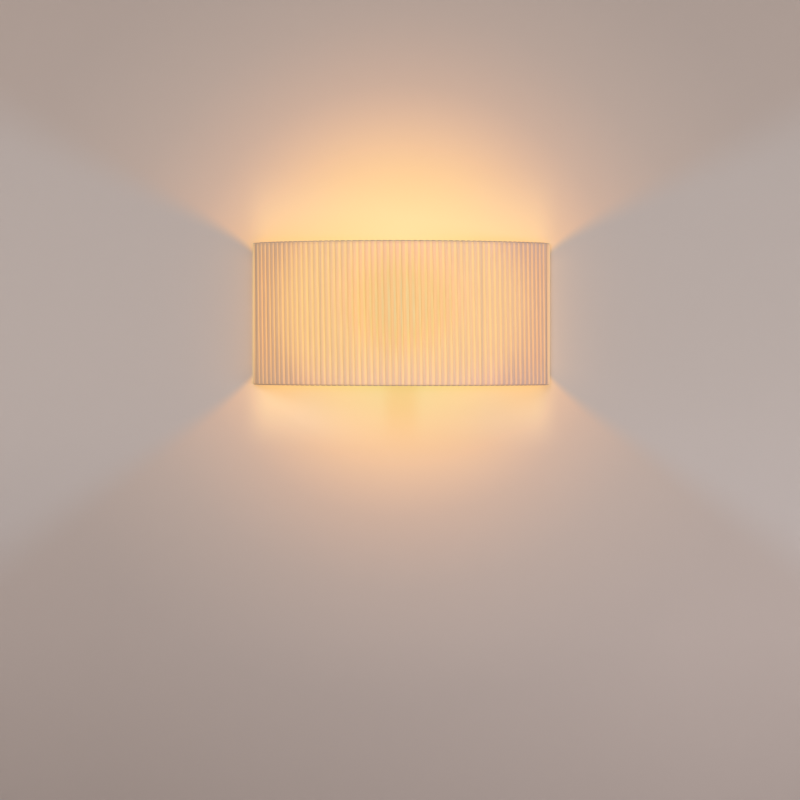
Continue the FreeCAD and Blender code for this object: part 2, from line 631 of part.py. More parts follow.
def canopy():
    """Pressed steel tray, open towards the wall."""
    body = new_body("canopy")
    half = "Sizes.canopy_height/2"
    side = "Sizes.canopy_width/2"
    blank = pad(body, outline(body, "XZ_Plane", rectangle("Sizes.canopy_width", "-" + half, half)),
                "Sizes.canopy_depth")
    corners = [(sign + side, up + half) for sign in ("", "-") for up in ("", "-")]
    rounded = fillet(body, blank, edges_at(blank, corners, "x", "z"), "Sizes.canopy_corner", "Corners")
    doc.recompute()
    front = -amount("Sizes.canopy_depth")
    rim = ["Edge%d" % number for number, edge in enumerate(rounded.Shape.Edges, 1)
           if abs(edge.BoundBox.YMin - front) < 0.01 and edge.BoundBox.YLength < 0.01]
    softened = fillet(body, rounded, rim, "Sizes.canopy_rim", "Rim")
    doc.recompute()
    back = [number for number, face in enumerate(softened.Shape.Faces, 1)
            if face.BoundBox.YLength < 0.01 and abs(face.BoundBox.YMax) < 0.01]
    shell = body.newObject("PartDesign::Thickness", "Shell")
    shell.Base = (softened, ["Face%d" % back[0]])
    shell.Reversed = True
    bind(shell, Value="Sizes.canopy_sheet")
    studs = [(sign + "Sizes.stud_spacing/2", "0") for sign in ("", "-")]
    stud_hole = "Sizes.stud_diameter + Sizes.stud_play"
    pocket_through(body, circles(body, "XZ_Plane", studs, stud_hole, "Studs"), "StudCut")
    spots = [(sign + "Sizes.rivet_spacing/2", "Worked.bracket_rivet_level") for sign in ("", "-")]
    spots += [(sign + "Sizes.hook_offset", "Worked.hook_rivet_level") for sign in ("", "-")]
    pocket_through(body, circles(body, "XZ_Plane", spots, "Sizes.rivet_diameter", "Rivets"), "RivetCut")
    lead = circles(body, "XY_Plane", [("0", "-Sizes.lead_run_depth")], "Sizes.bush_neck", "LeadHole")
    exit_cut = body.newObject("PartDesign::Pocket", "LeadCut")
    exit_cut.Profile = lead
    bind(exit_cut, Length="Sizes.canopy_height")


def canopy_fixings():
    """Studs pressed into the plate, with a washer and a cap nut in front of the canopy."""
    nut_back = "-Sizes.canopy_depth - Sizes.washer_thickness"
    length = "Sizes.canopy_depth + Sizes.washer_thickness + Sizes.stud_engagement"
    studs, washers, nuts = [], [], []
    for side, sign in (("left", "-"), ("right", "")):
        x = sign + "Sizes.stud_spacing/2"
        stud = "Sizes.stud_diameter"
        studs.append(cylinder("stud_" + side, stud, length, x=x, y="0", z="0", along="-Y"))
        disc = cylinder("washer_disc_" + side, "Sizes.washer_diameter", "Sizes.washer_thickness",
                        x=x, y="-Sizes.canopy_depth", z="0", along="-Y")
        hole = cylinder("washer_hole_" + side, stud + " + Sizes.washer_play", "Sizes.washer_thickness",
                        x=x, y="-Sizes.canopy_depth", z="0", along="-Y")
        washers.append(cut("washer_" + side, disc, hole))
        block = hexagon("nut_hexagon_" + side, "Sizes.nut_across", "Sizes.nut_height",
                        x, nut_back, "0", along="-Y")
        dome = doc.addObject("Part::Sphere", "nut_dome_" + side)
        bind(dome, Radius="Sizes.stud_diameter/2 + Sizes.nut_wall", x=x, z="0")
        bind(dome, y=nut_back + " - Sizes.nut_height")
        bore = cylinder("nut_bore_" + side, stud, "Sizes.stud_engagement", x=x, y=nut_back, z="0", along="-Y")
        nuts.append(cut("nut_" + side, fuse("nut_body_" + side, [block, dome]), bore))
    keep(group("canopy_studs", studs), "canopy_studs")
    keep(group("canopy_washers", washers), "canopy_washers")
    keep(group("cap_nuts", nuts), "cap_nuts")


def cable_grommet():
    """Rubber ring in the cable entry, with its flange in front of the plate."""
    body = new_body("cable_grommet")
    bore, neck, flange = "Sizes.entry_bore/2", "Sizes.grommet_neck/2", "Sizes.grommet_flange/2"
    front = "(Sizes.plate_sheet + Sizes.grommet_height)"
    bevel = " - Sizes.grommet_bevel"
    corners = [(bore, "0"), (neck, "0"), (neck, "Sizes.plate_sheet"), (flange, "Sizes.plate_sheet"),
               (flange, front + bevel), (flange + bevel, front), (bore, front)]
    turned(body, corners)
    body.Placement.Rotation = FreeCAD.Rotation(FreeCAD.Vector(1, 0, 0), 90)
    bind(body, z="-Sizes.entry_drop")


def terminal_block():
    """Three-pole block: a moulding, brass inserts, clamping screws and two fixing screws."""
    low = "Sizes.block_level - Sizes.block_height/2"
    front = "(Worked.block_back - Sizes.block_depth)"
    moulding = box("block_blank", "Sizes.block_width", "Sizes.block_depth", "Sizes.block_height",
                   "0", front, low)
    hollows, inserts, clamps, fixings = [], [], [], []
    insert_low = "Sizes.block_level - Sizes.insert_length/2"
    clamp_front = "%s + Sizes.clamp_screw_sunk" % front
    clamp_length = "Worked.pole_depth - Sizes.insert_bore/2 - (%s)" % clamp_front
    for name, place in (("left", "-Sizes.pole_spacing"), ("middle", "0"), ("right", "Sizes.pole_spacing")):
        y = "Worked.pole_depth"
        insert_hole = cylinder("insert_hole_" + name, "Sizes.insert_diameter", "Sizes.insert_length",
                               x=place, y=y, z=insert_low)
        wire_hole = cylinder("wire_hole_" + name, "Sizes.insert_bore", "Sizes.block_height",
                             x=place, y=y, z=low)
        hollows += [insert_hole, wire_hole]
        taps = []
        for end, sign in (("low", "-"), ("high", "+")):
            level = "Sizes.block_level %s Sizes.clamp_screw_spacing/2" % sign
            key = name + "_" + end
            tap = cylinder("clamp_tap_" + key, "Sizes.clamp_screw_diameter", "Sizes.block_depth/2",
                           x=place, y=y, z=level, along="-Y")
            taps.append(tap)
            hollows.append(tap)
            clamps.append(cylinder("clamp_screw_" + key, "Sizes.clamp_screw_diameter", clamp_length,
                                   x=place, y="Worked.pole_depth - Sizes.insert_bore/2", z=level,
                                   along="-Y"))
        brass = cylinder("insert_bar_" + name, "Sizes.insert_diameter", "Sizes.insert_length",
                         x=place, y=y, z=insert_low)
        inserts.append(cut("insert_" + name, brass, fuse("insert_cuts_" + name, [wire_hole] + taps)))
    for name, sign in (("left", "-"), ("right", "")):
        x = sign + "Sizes.pole_spacing/2"
        floor = "(Worked.block_back - Sizes.block_floor)"
        hollows.append(cylinder("fixing_hole_" + name, "Sizes.block_screw_diameter", "Sizes.block_depth",
                                x=x, y="Worked.block_back", z="Sizes.block_level", along="-Y"))
        hollows.append(cylinder("head_well_" + name, "Sizes.block_screw_head", "Sizes.block_depth",
                                x=x, y=floor, z="Sizes.block_level", along="-Y"))
        shank = cylinder("fixing_shank_" + name, "Sizes.block_screw_diameter",
                         "Sizes.block_floor + Sizes.plate_sheet", x=x, y="0", z="Sizes.block_level",
                         along="-Y")
        head = cylinder("fixing_head_" + name, "Sizes.block_screw_head", "Sizes.block_screw_diameter",
                        x=x, y=floor, z="Sizes.block_level", along="-Y")
        fixings.append(fuse("fixing_" + name, [shank, head]))
    keep(cut("block_moulding", moulding, fuse("block_hollows", hollows)), "terminal_block")
    keep(group("terminal_inserts", inserts), "terminal_inserts")
    keep(group("terminal_screws", clamps), "terminal_screws")
    keep(group("block_screws", fixings), "block_screws")


def earth_terminal():
    """Screw through a ring terminal, with the ring's barrel pointing up at the lead."""
    x, z = "Sizes.earth_side", "-Sizes.earth_drop"
    back, sheet = "Worked.block_back", "Sizes.earth_ring_sheet"
    shank = cylinder("earth_shank", "Sizes.earth_screw_diameter",
                     "Sizes.plate_sheet + Sizes.earth_ring_sheet", x=x, y="0", z=z, along="-Y")
    head = cylinder("earth_head", "Sizes.earth_head_diameter", "Sizes.earth_head_height",
                    x=x, y="Worked.earth_ring_front", z=z, along="-Y")
    keep(fuse("earth_screw_body", [shank, head]), "earth_screw")
    disc = cylinder("earth_disc", "Sizes.earth_ring_diameter", sheet, x=x, y=back, z=z, along="-Y")
    tube = "Sizes.lead_diameter + 2*Sizes.barrel_wall"
    start = "(-Sizes.earth_drop + Sizes.earth_ring_diameter/2 - Sizes.barrel_root)"
    centre = "Worked.earth_ring_front - (%s)/2 + Sizes.earth_ring_sheet/2" % tube
    barrel = cylinder("earth_barrel", tube, "Sizes.barrel_length", x=x, y=centre, z=start)
    hole = cylinder("earth_hole", "Sizes.earth_screw_diameter", sheet, x=x, y=back, z=z, along="-Y")
    bore = cylinder("earth_bore", "Sizes.lead_diameter", "Sizes.barrel_length - Sizes.barrel_end",
                    x=x, y=centre, z=start + " + Sizes.barrel_end")
    keep(cut("earth_ring_body", fuse("earth_ring_blank", [disc, barrel]),
             fuse("earth_ring_cuts", [hole, bore])), "earth_ring")


# ---- Lampholder bracket, lampholder and bulb ----

def holder_bracket():
    """Angle bracket: a leg riveted to the canopy and a shelf under the lampholder."""
    body = new_body("holder_bracket")
    back = "-Sizes.canopy_depth"
    front = "(-Sizes.canopy_depth - Sizes.bracket_sheet)"
    nose = "(-Sizes.bulb_offset - Sizes.bracket_nose)"
    corners = [(back, "-Sizes.bracket_top"), (back, "Worked.shelf_bottom"), (nose, "Worked.shelf_bottom"),
               (nose, "Worked.base_bottom"), (front, "Worked.base_bottom"), (front, "-Sizes.bracket_top")]
    angle = pad(body, outline(body, "YZ_Plane", corners), "Sizes.bracket_width", both_ways=True)
    inside = fillet(body, angle, edges_at(angle, [(front, "Worked.base_bottom")], "y", "z"),
                    "Sizes.bend_radius", "InnerBend")
    fillet(body, inside, edges_at(inside, [(back, "Worked.shelf_bottom")], "y", "z"),
           "Sizes.bend_radius + Sizes.bracket_sheet", "OuterBend")
    tube = circles(body, "XY_Plane", [("0", "-Sizes.bulb_offset")], "Sizes.nipple_diameter", "TubeHole")
    pocket_through(body, tube, "TubeCut")
    spots = [(sign + "Sizes.rivet_spacing/2", "Worked.bracket_rivet_level") for sign in ("", "-")]
    pocket_through(body, circles(body, "XZ_Plane", spots, "Sizes.rivet_diameter", "Rivets"), "RivetCut")


def axis_tube(label, outer, bore, low, height):
    """A plain tube on the bulb's axis."""
    y = "-Sizes.bulb_offset"
    bar = cylinder(label + "_bar", outer, height, y=y, z=low)
    hole = cylinder(label + "_bore", bore, height, y=y, z=low)
    keep(cut(label + "_tube", bar, hole), label)


def nipple_and_nut():
    axis_tube("nipple", "Sizes.nipple_diameter", "Sizes.nipple_bore", "Worked.nipple_bottom",
              "Worked.base_floor_top + Sizes.nipple_above - Worked.nipple_bottom")
    axis_tube("nipple_washer", "Sizes.nipple_washer_diameter", "Sizes.nipple_diameter",
              "Worked.nipple_nut_top", "Sizes.nipple_washer_thickness")
    low = "Worked.nipple_nut_top - Sizes.nipple_nut_height"
    y = "-Sizes.bulb_offset"
    block = hexagon("nipple_nut_block", "Sizes.nipple_nut_across", "Sizes.nipple_nut_height", "0", y, low)
    bore = cylinder("nipple_nut_bore", "Sizes.nipple_diameter", "Sizes.nipple_nut_height", y=y, z=low)
    keep(cut("nipple_nut_body", block, bore), "nipple_nut")


def lampholder():
    """Base cup, skirt, ceramic core, wire posts, threaded sleeve and spring contact."""
    base = on_bulb_axis(new_body("holder_base"))
    outer, inner = "Sizes.base_diameter/2", "(Sizes.base_diameter/2 - Sizes.holder_wall)"
    bore = "Sizes.nipple_diameter/2"
    turned(base, [(bore, "Worked.base_bottom"), (outer + " - Sizes.base_bevel", "Worked.base_bottom"),
                  (outer, "Worked.base_bottom + Sizes.base_bevel"), (outer, "Worked.core_top"),
                  (inner, "Worked.core_top"), (inner, "Worked.base_floor_top"),
                  (bore, "Worked.base_floor_top")])
    skirt = on_bulb_axis(new_body("holder_skirt"))
    outer, inner = "Sizes.skirt_diameter/2", "(Sizes.skirt_diameter/2 - Sizes.holder_wall)"
    lip = "(Worked.skirt_top - Sizes.holder_wall)"
    bevel = " - Sizes.skirt_bevel"
    turned(skirt, [(inner, "Worked.core_top"), (outer, "Worked.core_top"),
                   (outer, "Worked.skirt_top" + bevel), (outer + bevel, "Worked.skirt_top"),
                   ("Sizes.skirt_mouth/2", "Worked.skirt_top"), ("Sizes.skirt_mouth/2", lip), (inner, lip)])
    y = "-Sizes.bulb_offset"
    core = cylinder("core_disc", "Sizes.core_diameter", "Sizes.core_height", y=y, z="Worked.core_bottom")
    keep(core, "holder_core")
    posts = []
    for side, sign in (("left", "-"), ("right", "")):
        x = sign + "Sizes.post_spacing/2"
        low = "Worked.core_bottom - Sizes.post_height"
        post = cylinder("post_bar_" + side, "Sizes.post_diameter", "Sizes.post_height", x=x, y=y, z=low)
        hole = cylinder("post_hole_" + side, "Sizes.lead_diameter + Sizes.post_play",
                        "Sizes.post_height - Sizes.post_end", x=x, y=y, z=low)
        posts.append(cut("post_" + side, post, hole))
    keep(group("holder_posts", posts), "holder_posts")
    spring = on_bulb_axis(new_body("centre_contact"))
    foot, sheet = "Sizes.spring_reach", "Sizes.spring_sheet"
    tip = "Sizes.contact_diameter/4"
    rise = "(Worked.core_top + Sizes.spring_rise)"
    strip = [("-" + foot, "Worked.core_top"), ("-%s/2" % foot, "Worked.core_top"),
             ("-" + tip, "%s - %s" % (rise, sheet)), (tip, "%s - %s" % (rise, sheet)), (tip, rise),
             ("-" + tip, rise), ("-%s/2" % foot, "Worked.core_top + " + sheet),
             ("-" + foot, "Worked.core_top + " + sheet)]
    pad(spring, outline(spring, "XZ_Plane", strip), "Sizes.spring_width", both_ways=True)


def threaded_sleeve(label, crest, threads, low, inward):
    """Thin rolled sleeve: its wall follows a zigzag thread, with plain bands at both ends."""
    body = on_bulb_axis(new_body(label))
    count = int(amount(threads))
    depth, sheet, step = "Sizes.thread_depth", "Sizes.sheet_of_cap", "Sizes.thread_pitch"
    root = "(%s %s %s)" % (crest, "+" if inward else "-", depth)
    rows = [(root, low), (root, "%s + %s/2" % (low, step))]
    for turn in range(1, count + 1):
        rows.append((crest, "%s + %s*(%d - Sizes.crest_flat/2)" % (low, step, turn)))
        rows.append((crest, "%s + %s*(%d + Sizes.crest_flat/2)" % (low, step, turn)))
        rows.append((root, "%s + %s*(%d + 1/2)" % (low, step, turn)))
    rows.append((root, "%s + %s*%d" % (low, step, count + 1)))
    sign = "+" if inward else "-"
    other = [("%s %s %s" % (radius, sign, sheet), height) for radius, height in reversed(rows)]
    turned(body, rows + other)


def bulb():
    """Glass globe with a neck that meets it smoothly, threaded cap, insulator, contact, stem, filament."""
    y = "-Sizes.bulb_offset"

    def envelope(name, inset):
        globe = doc.addObject("Part::Sphere", name + "_globe")
        bind(globe, Radius="Sizes.bulb_diameter/2 - (%s)" % inset, y=y, z="Sizes.bulb_level")
        neck = doc.addObject("Part::Cone", name + "_neck")
        bind(neck, Radius1="Worked.neck_radius - (%s)" % inset, y=y, z="Worked.cap_top")
        bind(neck, Radius2="Worked.shoulder_radius - (%s)" % inset,
             Height="Worked.neck_drop - Worked.shoulder_drop")
        return fuse(name, [globe, neck])

    shell = cut("bulb_shell", envelope("glass_outside", "0"), envelope("glass_inside", "Sizes.glass_wall"))
    keep(shell, "bulb_glass")
    threaded_sleeve("bulb_cap", "Worked.cap_radius", "Sizes.cap_threads", "Worked.cap_level", False)
    insulator = doc.addObject("Part::Cone", "insulator_cone")
    bind(insulator, Radius1="Sizes.contact_diameter/2", Radius2="Worked.neck_radius",
         Height="Sizes.insulator_height", y=y, z="Worked.insulator_level")
    keep(insulator, "cap_insulator")
    pip = cylinder("contact_disc", "Sizes.contact_diameter", "Sizes.contact_height", y=y,
                   z="Worked.contact_level")
    keep(pip, "cap_contact")
    stem = doc.addObject("Part::Cone", "stem_cone")
    bind(stem, Radius1="Sizes.stem_diameter/2", Radius2="Sizes.stem_tip/2",
         Height="Worked.neck_drop - Sizes.filament_loop/2", y=y, z="Worked.cap_top")
    base = cylinder("stem_plug", "2*(Worked.neck_radius - Sizes.stem_play)",
                    "Worked.cap_top - Worked.cap_level", y=y, z="Worked.cap_level")
    keep(fuse("stem_body", [base, stem]), "bulb_stem")
    loop = doc.addObject("Part::Torus", "filament_arch")
    loop.Placement.Rotation = FreeCAD.Rotation(FreeCAD.Vector(1, 0, 0), 90)
    bind(loop, Radius1="Sizes.filament_loop/2", Radius2="Sizes.filament_diameter/2", y=y,
         z="Sizes.bulb_level + Sizes.filament_diameter/2")
    keep(loop, "bulb_filament")


# ---- Leads and the bush they pass through ----

def rounded_route(points):
    """Straight runs joined by tangent arcs, each as wide as its two runs allow."""
    share = amount("Sizes.lead_bend_share")
    edges = []
    radii = []
    here = points[0]
    for before, corner, after in zip(points[:-2], points[1:-1], points[2:]):
        back, ahead = before - corner, after - corner
        shorter = min(back.Length, ahead.Length)
        turn = math.pi - back.getAngle(ahead)
        setback = share * shorter
        radii.append(setback / math.tan(turn / 2))
        into = corner + back * (setback / back.Length)
        out = corner + ahead * (setback / ahead.Length)
        bisector = (back * (1 / back.Length) + ahead * (1 / ahead.Length)).normalize()
        centre = corner + bisector * (radii[-1] / math.cos(turn / 2))
        middle = centre + (corner - centre).normalize() * radii[-1]
        edges.append(Part.LineSegment(here, into).toShape())
        edges.append(Part.Arc(into, middle, out).toShape())
        here = out
    edges.append(Part.LineSegment(here, points[-1]).toShape())
    return Part.Wire(edges), radii


def lead(label, corners):
    """A round insulated lead along a route."""
    points = [FreeCAD.Vector(*[amount(place) for place in corner]) for corner in corners]
    route, radii = rounded_route(points)
    radius = amount("Sizes.lead_diameter") / 2
    start = points[1] - points[0]
    ring = Part.Wire(Part.makeCircle(radius, points[0], start))
    item = doc.addObject("Part::Feature", label)
    item.Shape = route.makePipeShell([ring], True, False)
    item.Placement = FreeCAD.Placement()
    expected = math.pi * radius ** 2 * route.Length
    print(label, "length %.1f" % route.Length, "radii", ["%.1f" % value for value in radii],
          "volume share %.4f" % (item.Shape.Volume / expected))
    keep(item, label)


def leads():
    """Live and neutral from the block to the lampholder, and earth from the block to its screw."""
    pole = "Worked.pole_depth"
    depth = "-Sizes.lead_run_depth"
    inside = "Sizes.block_level - Sizes.block_height/2 + Sizes.lead_in_block"
    below = "Sizes.block_level - Sizes.block_height/2 - Sizes.lead_below_block"
    together = "Worked.canopy_bottom + Sizes.lead_gather"
    droop = "Worked.canopy_bottom - Sizes.lead_droop"
    axis = "-Sizes.bulb_offset"
    post = "Worked.core_bottom - Sizes.post_height"
    for label, start, sign in (("live_lead", "-Sizes.pole_spacing", "-"), ("neutral_lead", "0", "")):
        side, out = sign + "Sizes.lead_spacing/2", sign + "Sizes.post_spacing/2"
        lead(label, [(start, pole, inside), (start, pole, below), (side, depth, together),
                     (side, depth, droop), (side, axis, droop), (side, axis, post + " - Sizes.lead_spread"),
                     (out, axis, post + " - Sizes.lead_below_post"),
                     (out, axis, post + " + Sizes.lead_in_post")])
    tube = "(Sizes.lead_diameter + 2*Sizes.barrel_wall)"
    barrel = "Worked.earth_ring_front - %s/2 + Sizes.earth_ring_sheet/2" % tube
    ring_top = ("-Sizes.earth_drop + Sizes.earth_ring_diameter/2 - Sizes.barrel_root"
                " + Sizes.barrel_length")
    lead("earth_lead", [("Sizes.pole_spacing", pole, inside), ("Sizes.pole_spacing", pole, below),
                        ("Sizes.earth_side", barrel, ring_top + " + Sizes.lead_above_barrel"),
                        ("Sizes.earth_side", barrel, ring_top + " - Sizes.lead_in_barrel")])


def lead_bush():
    """Rubber ring in the hole of the canopy's bottom, a lip on each side of the sheet."""
    body = new_body("lead_bush")
    bore, neck, lip = "Sizes.bush_bore/2", "Sizes.bush_neck/2", "Sizes.bush_flange/2"
    low, sheet, edge = "Worked.canopy_bottom", "Sizes.canopy_sheet", "Sizes.bush_lip"
    turned(body, [(bore, "%s - %s" % (low, edge)), (lip, "%s - %s" % (low, edge)), (lip, low), (neck, low),
                  (neck, "%s + %s" % (low, sheet)), (lip, "%s + %s" % (low, sheet)),
                  (lip, "%s + %s + %s" % (low, sheet, edge)), (bore, "%s + %s + %s" % (low, sheet, edge))])
    bind(body, y="-Sizes.lead_run_depth")


shade_frame()
shade_rail()
ribbon_cover()
mounting_plate()
canopy()
canopy_fixings()
cable_grommet()
terminal_block()
earth_terminal()
shade_hook("shade_hook_left", "-Sizes.hook_offset")
shade_hook("shade_hook_right", "Sizes.hook_offset")
rivets("hook_rivets", "Sizes.hook_offset", "Worked.hook_rivet_level", "Sizes.hook_sheet")
holder_bracket()
rivets("bracket_rivets", "Sizes.rivet_spacing/2", "Worked.bracket_rivet_level", "Sizes.bracket_sheet")
nipple_and_nut()
lampholder()
threaded_sleeve("thread_sleeve", "Worked.sleeve_crest", "Sizes.sleeve_threads", "Worked.core_top", True)
bulb()
leads()
lead_bush()

doc.recompute()

for item in doc.Objects:
    if "Invalid" in item.State or "Error" in item.State:
        raise RuntimeError("%s failed: %s" % (item.Label, item.State))
for item in parts:
    if item.Shape.isNull() or not item.Shape.isValid() or not item.Shape.Solids:
        raise RuntimeError("%s has no valid solid" % item.Label)

os.makedirs("parts", exist_ok=True)
for item in parts:
    item.Shape.exportStep("parts/%s.step" % item.Label)
    print(item.Label, len(item.Shape.Solids), "%.1f mm3" % item.Shape.Volume)
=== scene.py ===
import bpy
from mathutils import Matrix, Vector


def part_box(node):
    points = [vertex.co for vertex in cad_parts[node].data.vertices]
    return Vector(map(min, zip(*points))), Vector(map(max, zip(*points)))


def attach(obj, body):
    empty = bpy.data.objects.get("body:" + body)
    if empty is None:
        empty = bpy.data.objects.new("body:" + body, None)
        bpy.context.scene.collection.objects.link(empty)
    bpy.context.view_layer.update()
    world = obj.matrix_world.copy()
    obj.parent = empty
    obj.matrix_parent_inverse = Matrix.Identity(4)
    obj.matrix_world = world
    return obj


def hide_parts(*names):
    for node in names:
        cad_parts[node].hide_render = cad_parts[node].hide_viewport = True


bl_info = {
    "name": "Wall light with a bowed ribbon shade",
    "version": (1, 0, 0),
    "blender": (4, 5, 0),
    "location": "3D View > Sidebar > Wall light",
    "description": "Winds the ribbon of the shade and gives every part of the wall light its finish",
    "category": "Object",
}

import math
import random

import bmesh
import bpy
from mathutils import Matrix, Vector

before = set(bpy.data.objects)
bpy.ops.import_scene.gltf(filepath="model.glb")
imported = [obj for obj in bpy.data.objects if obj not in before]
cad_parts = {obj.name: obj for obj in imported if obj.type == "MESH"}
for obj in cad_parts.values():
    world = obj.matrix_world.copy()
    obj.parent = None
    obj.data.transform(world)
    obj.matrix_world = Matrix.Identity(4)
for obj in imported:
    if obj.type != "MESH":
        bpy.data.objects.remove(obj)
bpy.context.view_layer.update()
SHADE_LOW, SHADE_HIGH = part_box("ribbon_cover")
BULB_LOW, BULB_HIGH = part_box("bulb_glass")
# The bulb's light comes from this far below the top of its globe
LIGHT_BELOW_TOP = 0.02
BULB_MIDDLE = ((BULB_LOW.x + BULB_HIGH.x) / 2, (BULB_LOW.y + BULB_HIGH.y) / 2,
               BULB_HIGH.z - LIGHT_BELOW_TOP)


# ---- Sizes and colours that a user would change ----


def length(name, description, default):
    return bpy.props.FloatProperty(name=name, description=description, default=default, min=0.0,
                                   precision=5, unit="LENGTH")


def degrees(name, description, default):
    return bpy.props.FloatProperty(name=name, description=description,
                                   default=math.radians(default), subtype="ANGLE")


def share(name, description, default):
    return bpy.props.FloatProperty(name=name, description=description, default=default, min=0.0,
                                   max=1.0, subtype="FACTOR")


def colour(name, description, default):
    return bpy.props.FloatVectorProperty(name=name, description=description, default=default,
                                         size=3, min=0.0, max=1.0, subtype="COLOR")


class RibbonSettings(bpy.types.PropertyGroup):
    turns: bpy.props.IntProperty(name="Turns", description="Turns of ribbon along the frame wires",
                                 default=57, min=8)
    bow: length("Bow", "How far the middle of the shade stands out in front of its ends", 0.096)
    lap: length("Lap", "How much each turn covers of the turn before", 0.004)
    ply: length("Ply", "Room that one layer of ribbon takes", 0.0004)
    thickness: length("Thickness", "Thickness of the ribbon itself", 0.00034)
    stand: length("Stand", "From the middle of a frame wire to the ribbon's inside", 0.0022)
    lean: share("Lean", "How far a turn leans to each side, as a part of the pitch", 0.25)
    unevenness: length("Unevenness", "How far a turn strays from its even place", 0.00022)
    yarn: colour("Yarn", "Raw ribbon in daylight", (0.50, 0.39, 0.33))
    shadow_shift: length("Shadow shift",
                         "How far towards the middle the shadow of a side upright falls", 0.0064)
    bulb_spot: colour("Bulb spot", "Light through one layer right in front of the bulb",
                      (0.585, 0.37, 0.065))
    near_light: colour("Near light", "Light through the ribbon beside the bulb", (0.61, 0.345, 0.0))
    middle_light: colour("Middle light", "Light through the ribbon a hand's width from the bulb",
                         (0.71, 0.38, 0.058))
    far_light: colour("Far light", "Light through the ribbon towards the ends", (0.665, 0.27, 0.052))
    end_light: colour("End light", "Light through the last turns", (0.54, 0.26, 0.06))
    selvedge_light: colour("Selvedge light", "What the outer edge of the last turn adds",
                           (0.0, 0.10, 0.075))
    inside_light: colour("Inside light", "Light on the side of the ribbon that faces the bulb",
                         (0.60, 0.36, 0.12))


class FinishSettings(bpy.types.PropertyGroup):
    powder: colour("Powder coat", "Steel parts coated white", (0.71, 0.69, 0.64))
    zinc: colour("Zinc", "Zinc plated steel", (0.52, 0.53, 0.55))
    nickel: colour("Nickel", "Satin nickel", (0.56, 0.53, 0.48))
    brass: colour("Brass", "Turned brass", (0.62, 0.40, 0.15))
    rubber: colour("Rubber", "Grommet and bush", (0.022, 0.021, 0.020))
    worn_rubber: colour("Worn rubber", "Worn grommet and bush", (0.05, 0.048, 0.045))
    nylon: colour("Nylon", "Terminal block", (0.70, 0.67, 0.58))
    live: colour("Live lead", "Brown insulation", (0.075, 0.028, 0.012))
    neutral: colour("Neutral lead", "Blue insulation", (0.02, 0.075, 0.32))
    earth: colour("Earth lead", "Green insulation", (0.06, 0.26, 0.04))
    earth_stripe: colour("Earth stripe", "Yellow side of the earth lead", (0.62, 0.50, 0.04))
    moulding: colour("Moulding", "Lampholder shell", (0.72, 0.68, 0.58))
    ceramic: colour("Ceramic", "Lampholder core", (0.74, 0.71, 0.64))
    opal: colour("Opal glass", "Bulb, unlit", (0.62, 0.58, 0.50))
    opal_light: colour("Bulb light", "What the lit globe adds", (0.42, 0.31, 0.16))
    cap: colour("Cap", "Metal of the bulb's cap", (0.60, 0.59, 0.57))
    worn_cap: colour("Worn cap", "Worn cap metal", (0.42, 0.41, 0.39))
    cap_glass: colour("Cap glass", "Black glass in the cap's end", (0.012, 0.012, 0.014))
    worn_cap_glass: colour("Worn cap glass", "Black glass, worn", (0.02, 0.02, 0.022))
    solder: colour("Solder", "Contact in the cap's end", (0.34, 0.35, 0.36))
    worn_solder: colour("Worn solder", "Worn contact", (0.24, 0.24, 0.25))
    stem: colour("Stem", "Glass stem in the globe", (0.70, 0.73, 0.72))
    stem_shade: colour("Stem shade", "Glass stem, darker places", (0.62, 0.66, 0.65))
    filament: colour("Filament", "Filament strip", (0.80, 0.55, 0.18))
    filament_shade: colour("Filament shade", "Filament strip, darker places", (0.70, 0.42, 0.12))
    filament_light: colour("Filament light", "What the lit filament adds", (1.0, 0.7, 0.32))


class StageSettings(bpy.types.PropertyGroup):
    camera_distance: length("Camera distance", "From the wall to the camera", 3.824)
    camera_drop: length("Camera drop", "Camera below the middle of the shade", 0.044)
    camera_aside: length("Camera aside", "Camera left of the middle of the shade", 0.0015)
    camera_tilt: degrees("Camera tilt", "Turn of the camera downwards", 0.945)
    camera_roll: degrees("Camera roll", "Turn of the camera to the left", 0.072)
    lens: bpy.props.FloatProperty(name="Lens", description="Focal length in millimetres", default=138.3)
    wall: colour("Wall", "Wall behind the light", (0.6285, 0.533, 0.487))
    warm_wall: colour("Warm wall", "Wall in the light that leaves the shade", (0.579, 0.466, 0.41))
    floor: colour("Floor", "Floor under the light", (0.66, 0.63, 0.60))
    glow: share("Glow", "Strength of the lamp's glow on the wall", 1.0)


# ---- Node helpers ----


def fill(tree, node, values):
    """Set a node's inputs, or join them to the sockets given."""
    for key, value in values.items():
        if isinstance(value, bpy.types.NodeSocket):
            tree.links.new(value, node.inputs[key])
        else:
            node.inputs[key].default_value = value


def put(tree, kind, inputs=None, **settings):
    """Add a node, set it, and fill or join its inputs."""
    node = tree.nodes.new(kind)
    for name, value in settings.items():
        setattr(node, name, value)
    fill(tree, node, inputs or {})
    return node


def calc(tree, operation, *values, clamp=False):
    """The result of a maths node."""
    settings = {"operation": operation, "use_clamp": clamp}
    return put(tree, "ShaderNodeMath", dict(enumerate(values)), **settings).outputs[0]


def product(tree, first, *others):
    """All the values multiplied."""
    for value in others:
        first = calc(tree, "MULTIPLY", first, value)
    return first


def minus(tree, one, other):
    return calc(tree, "SUBTRACT", one, other)


def left_after(tree, mask, share):
    """What is left where a mask takes a share away."""
    return minus(tree, 1.0, product(tree, mask, share))


def fade(tree, value, start, stop, low=0.0, high=1.0, kind="SMOOTHSTEP"):
    """low where value is start or less, high from stop on, and a smooth step between."""
    inputs = {"Value": value, "From Min": start, "From Max": stop, "To Min": low, "To Max": high}
    return put(tree, "ShaderNodeMapRange", inputs, interpolation_type=kind).outputs[0]


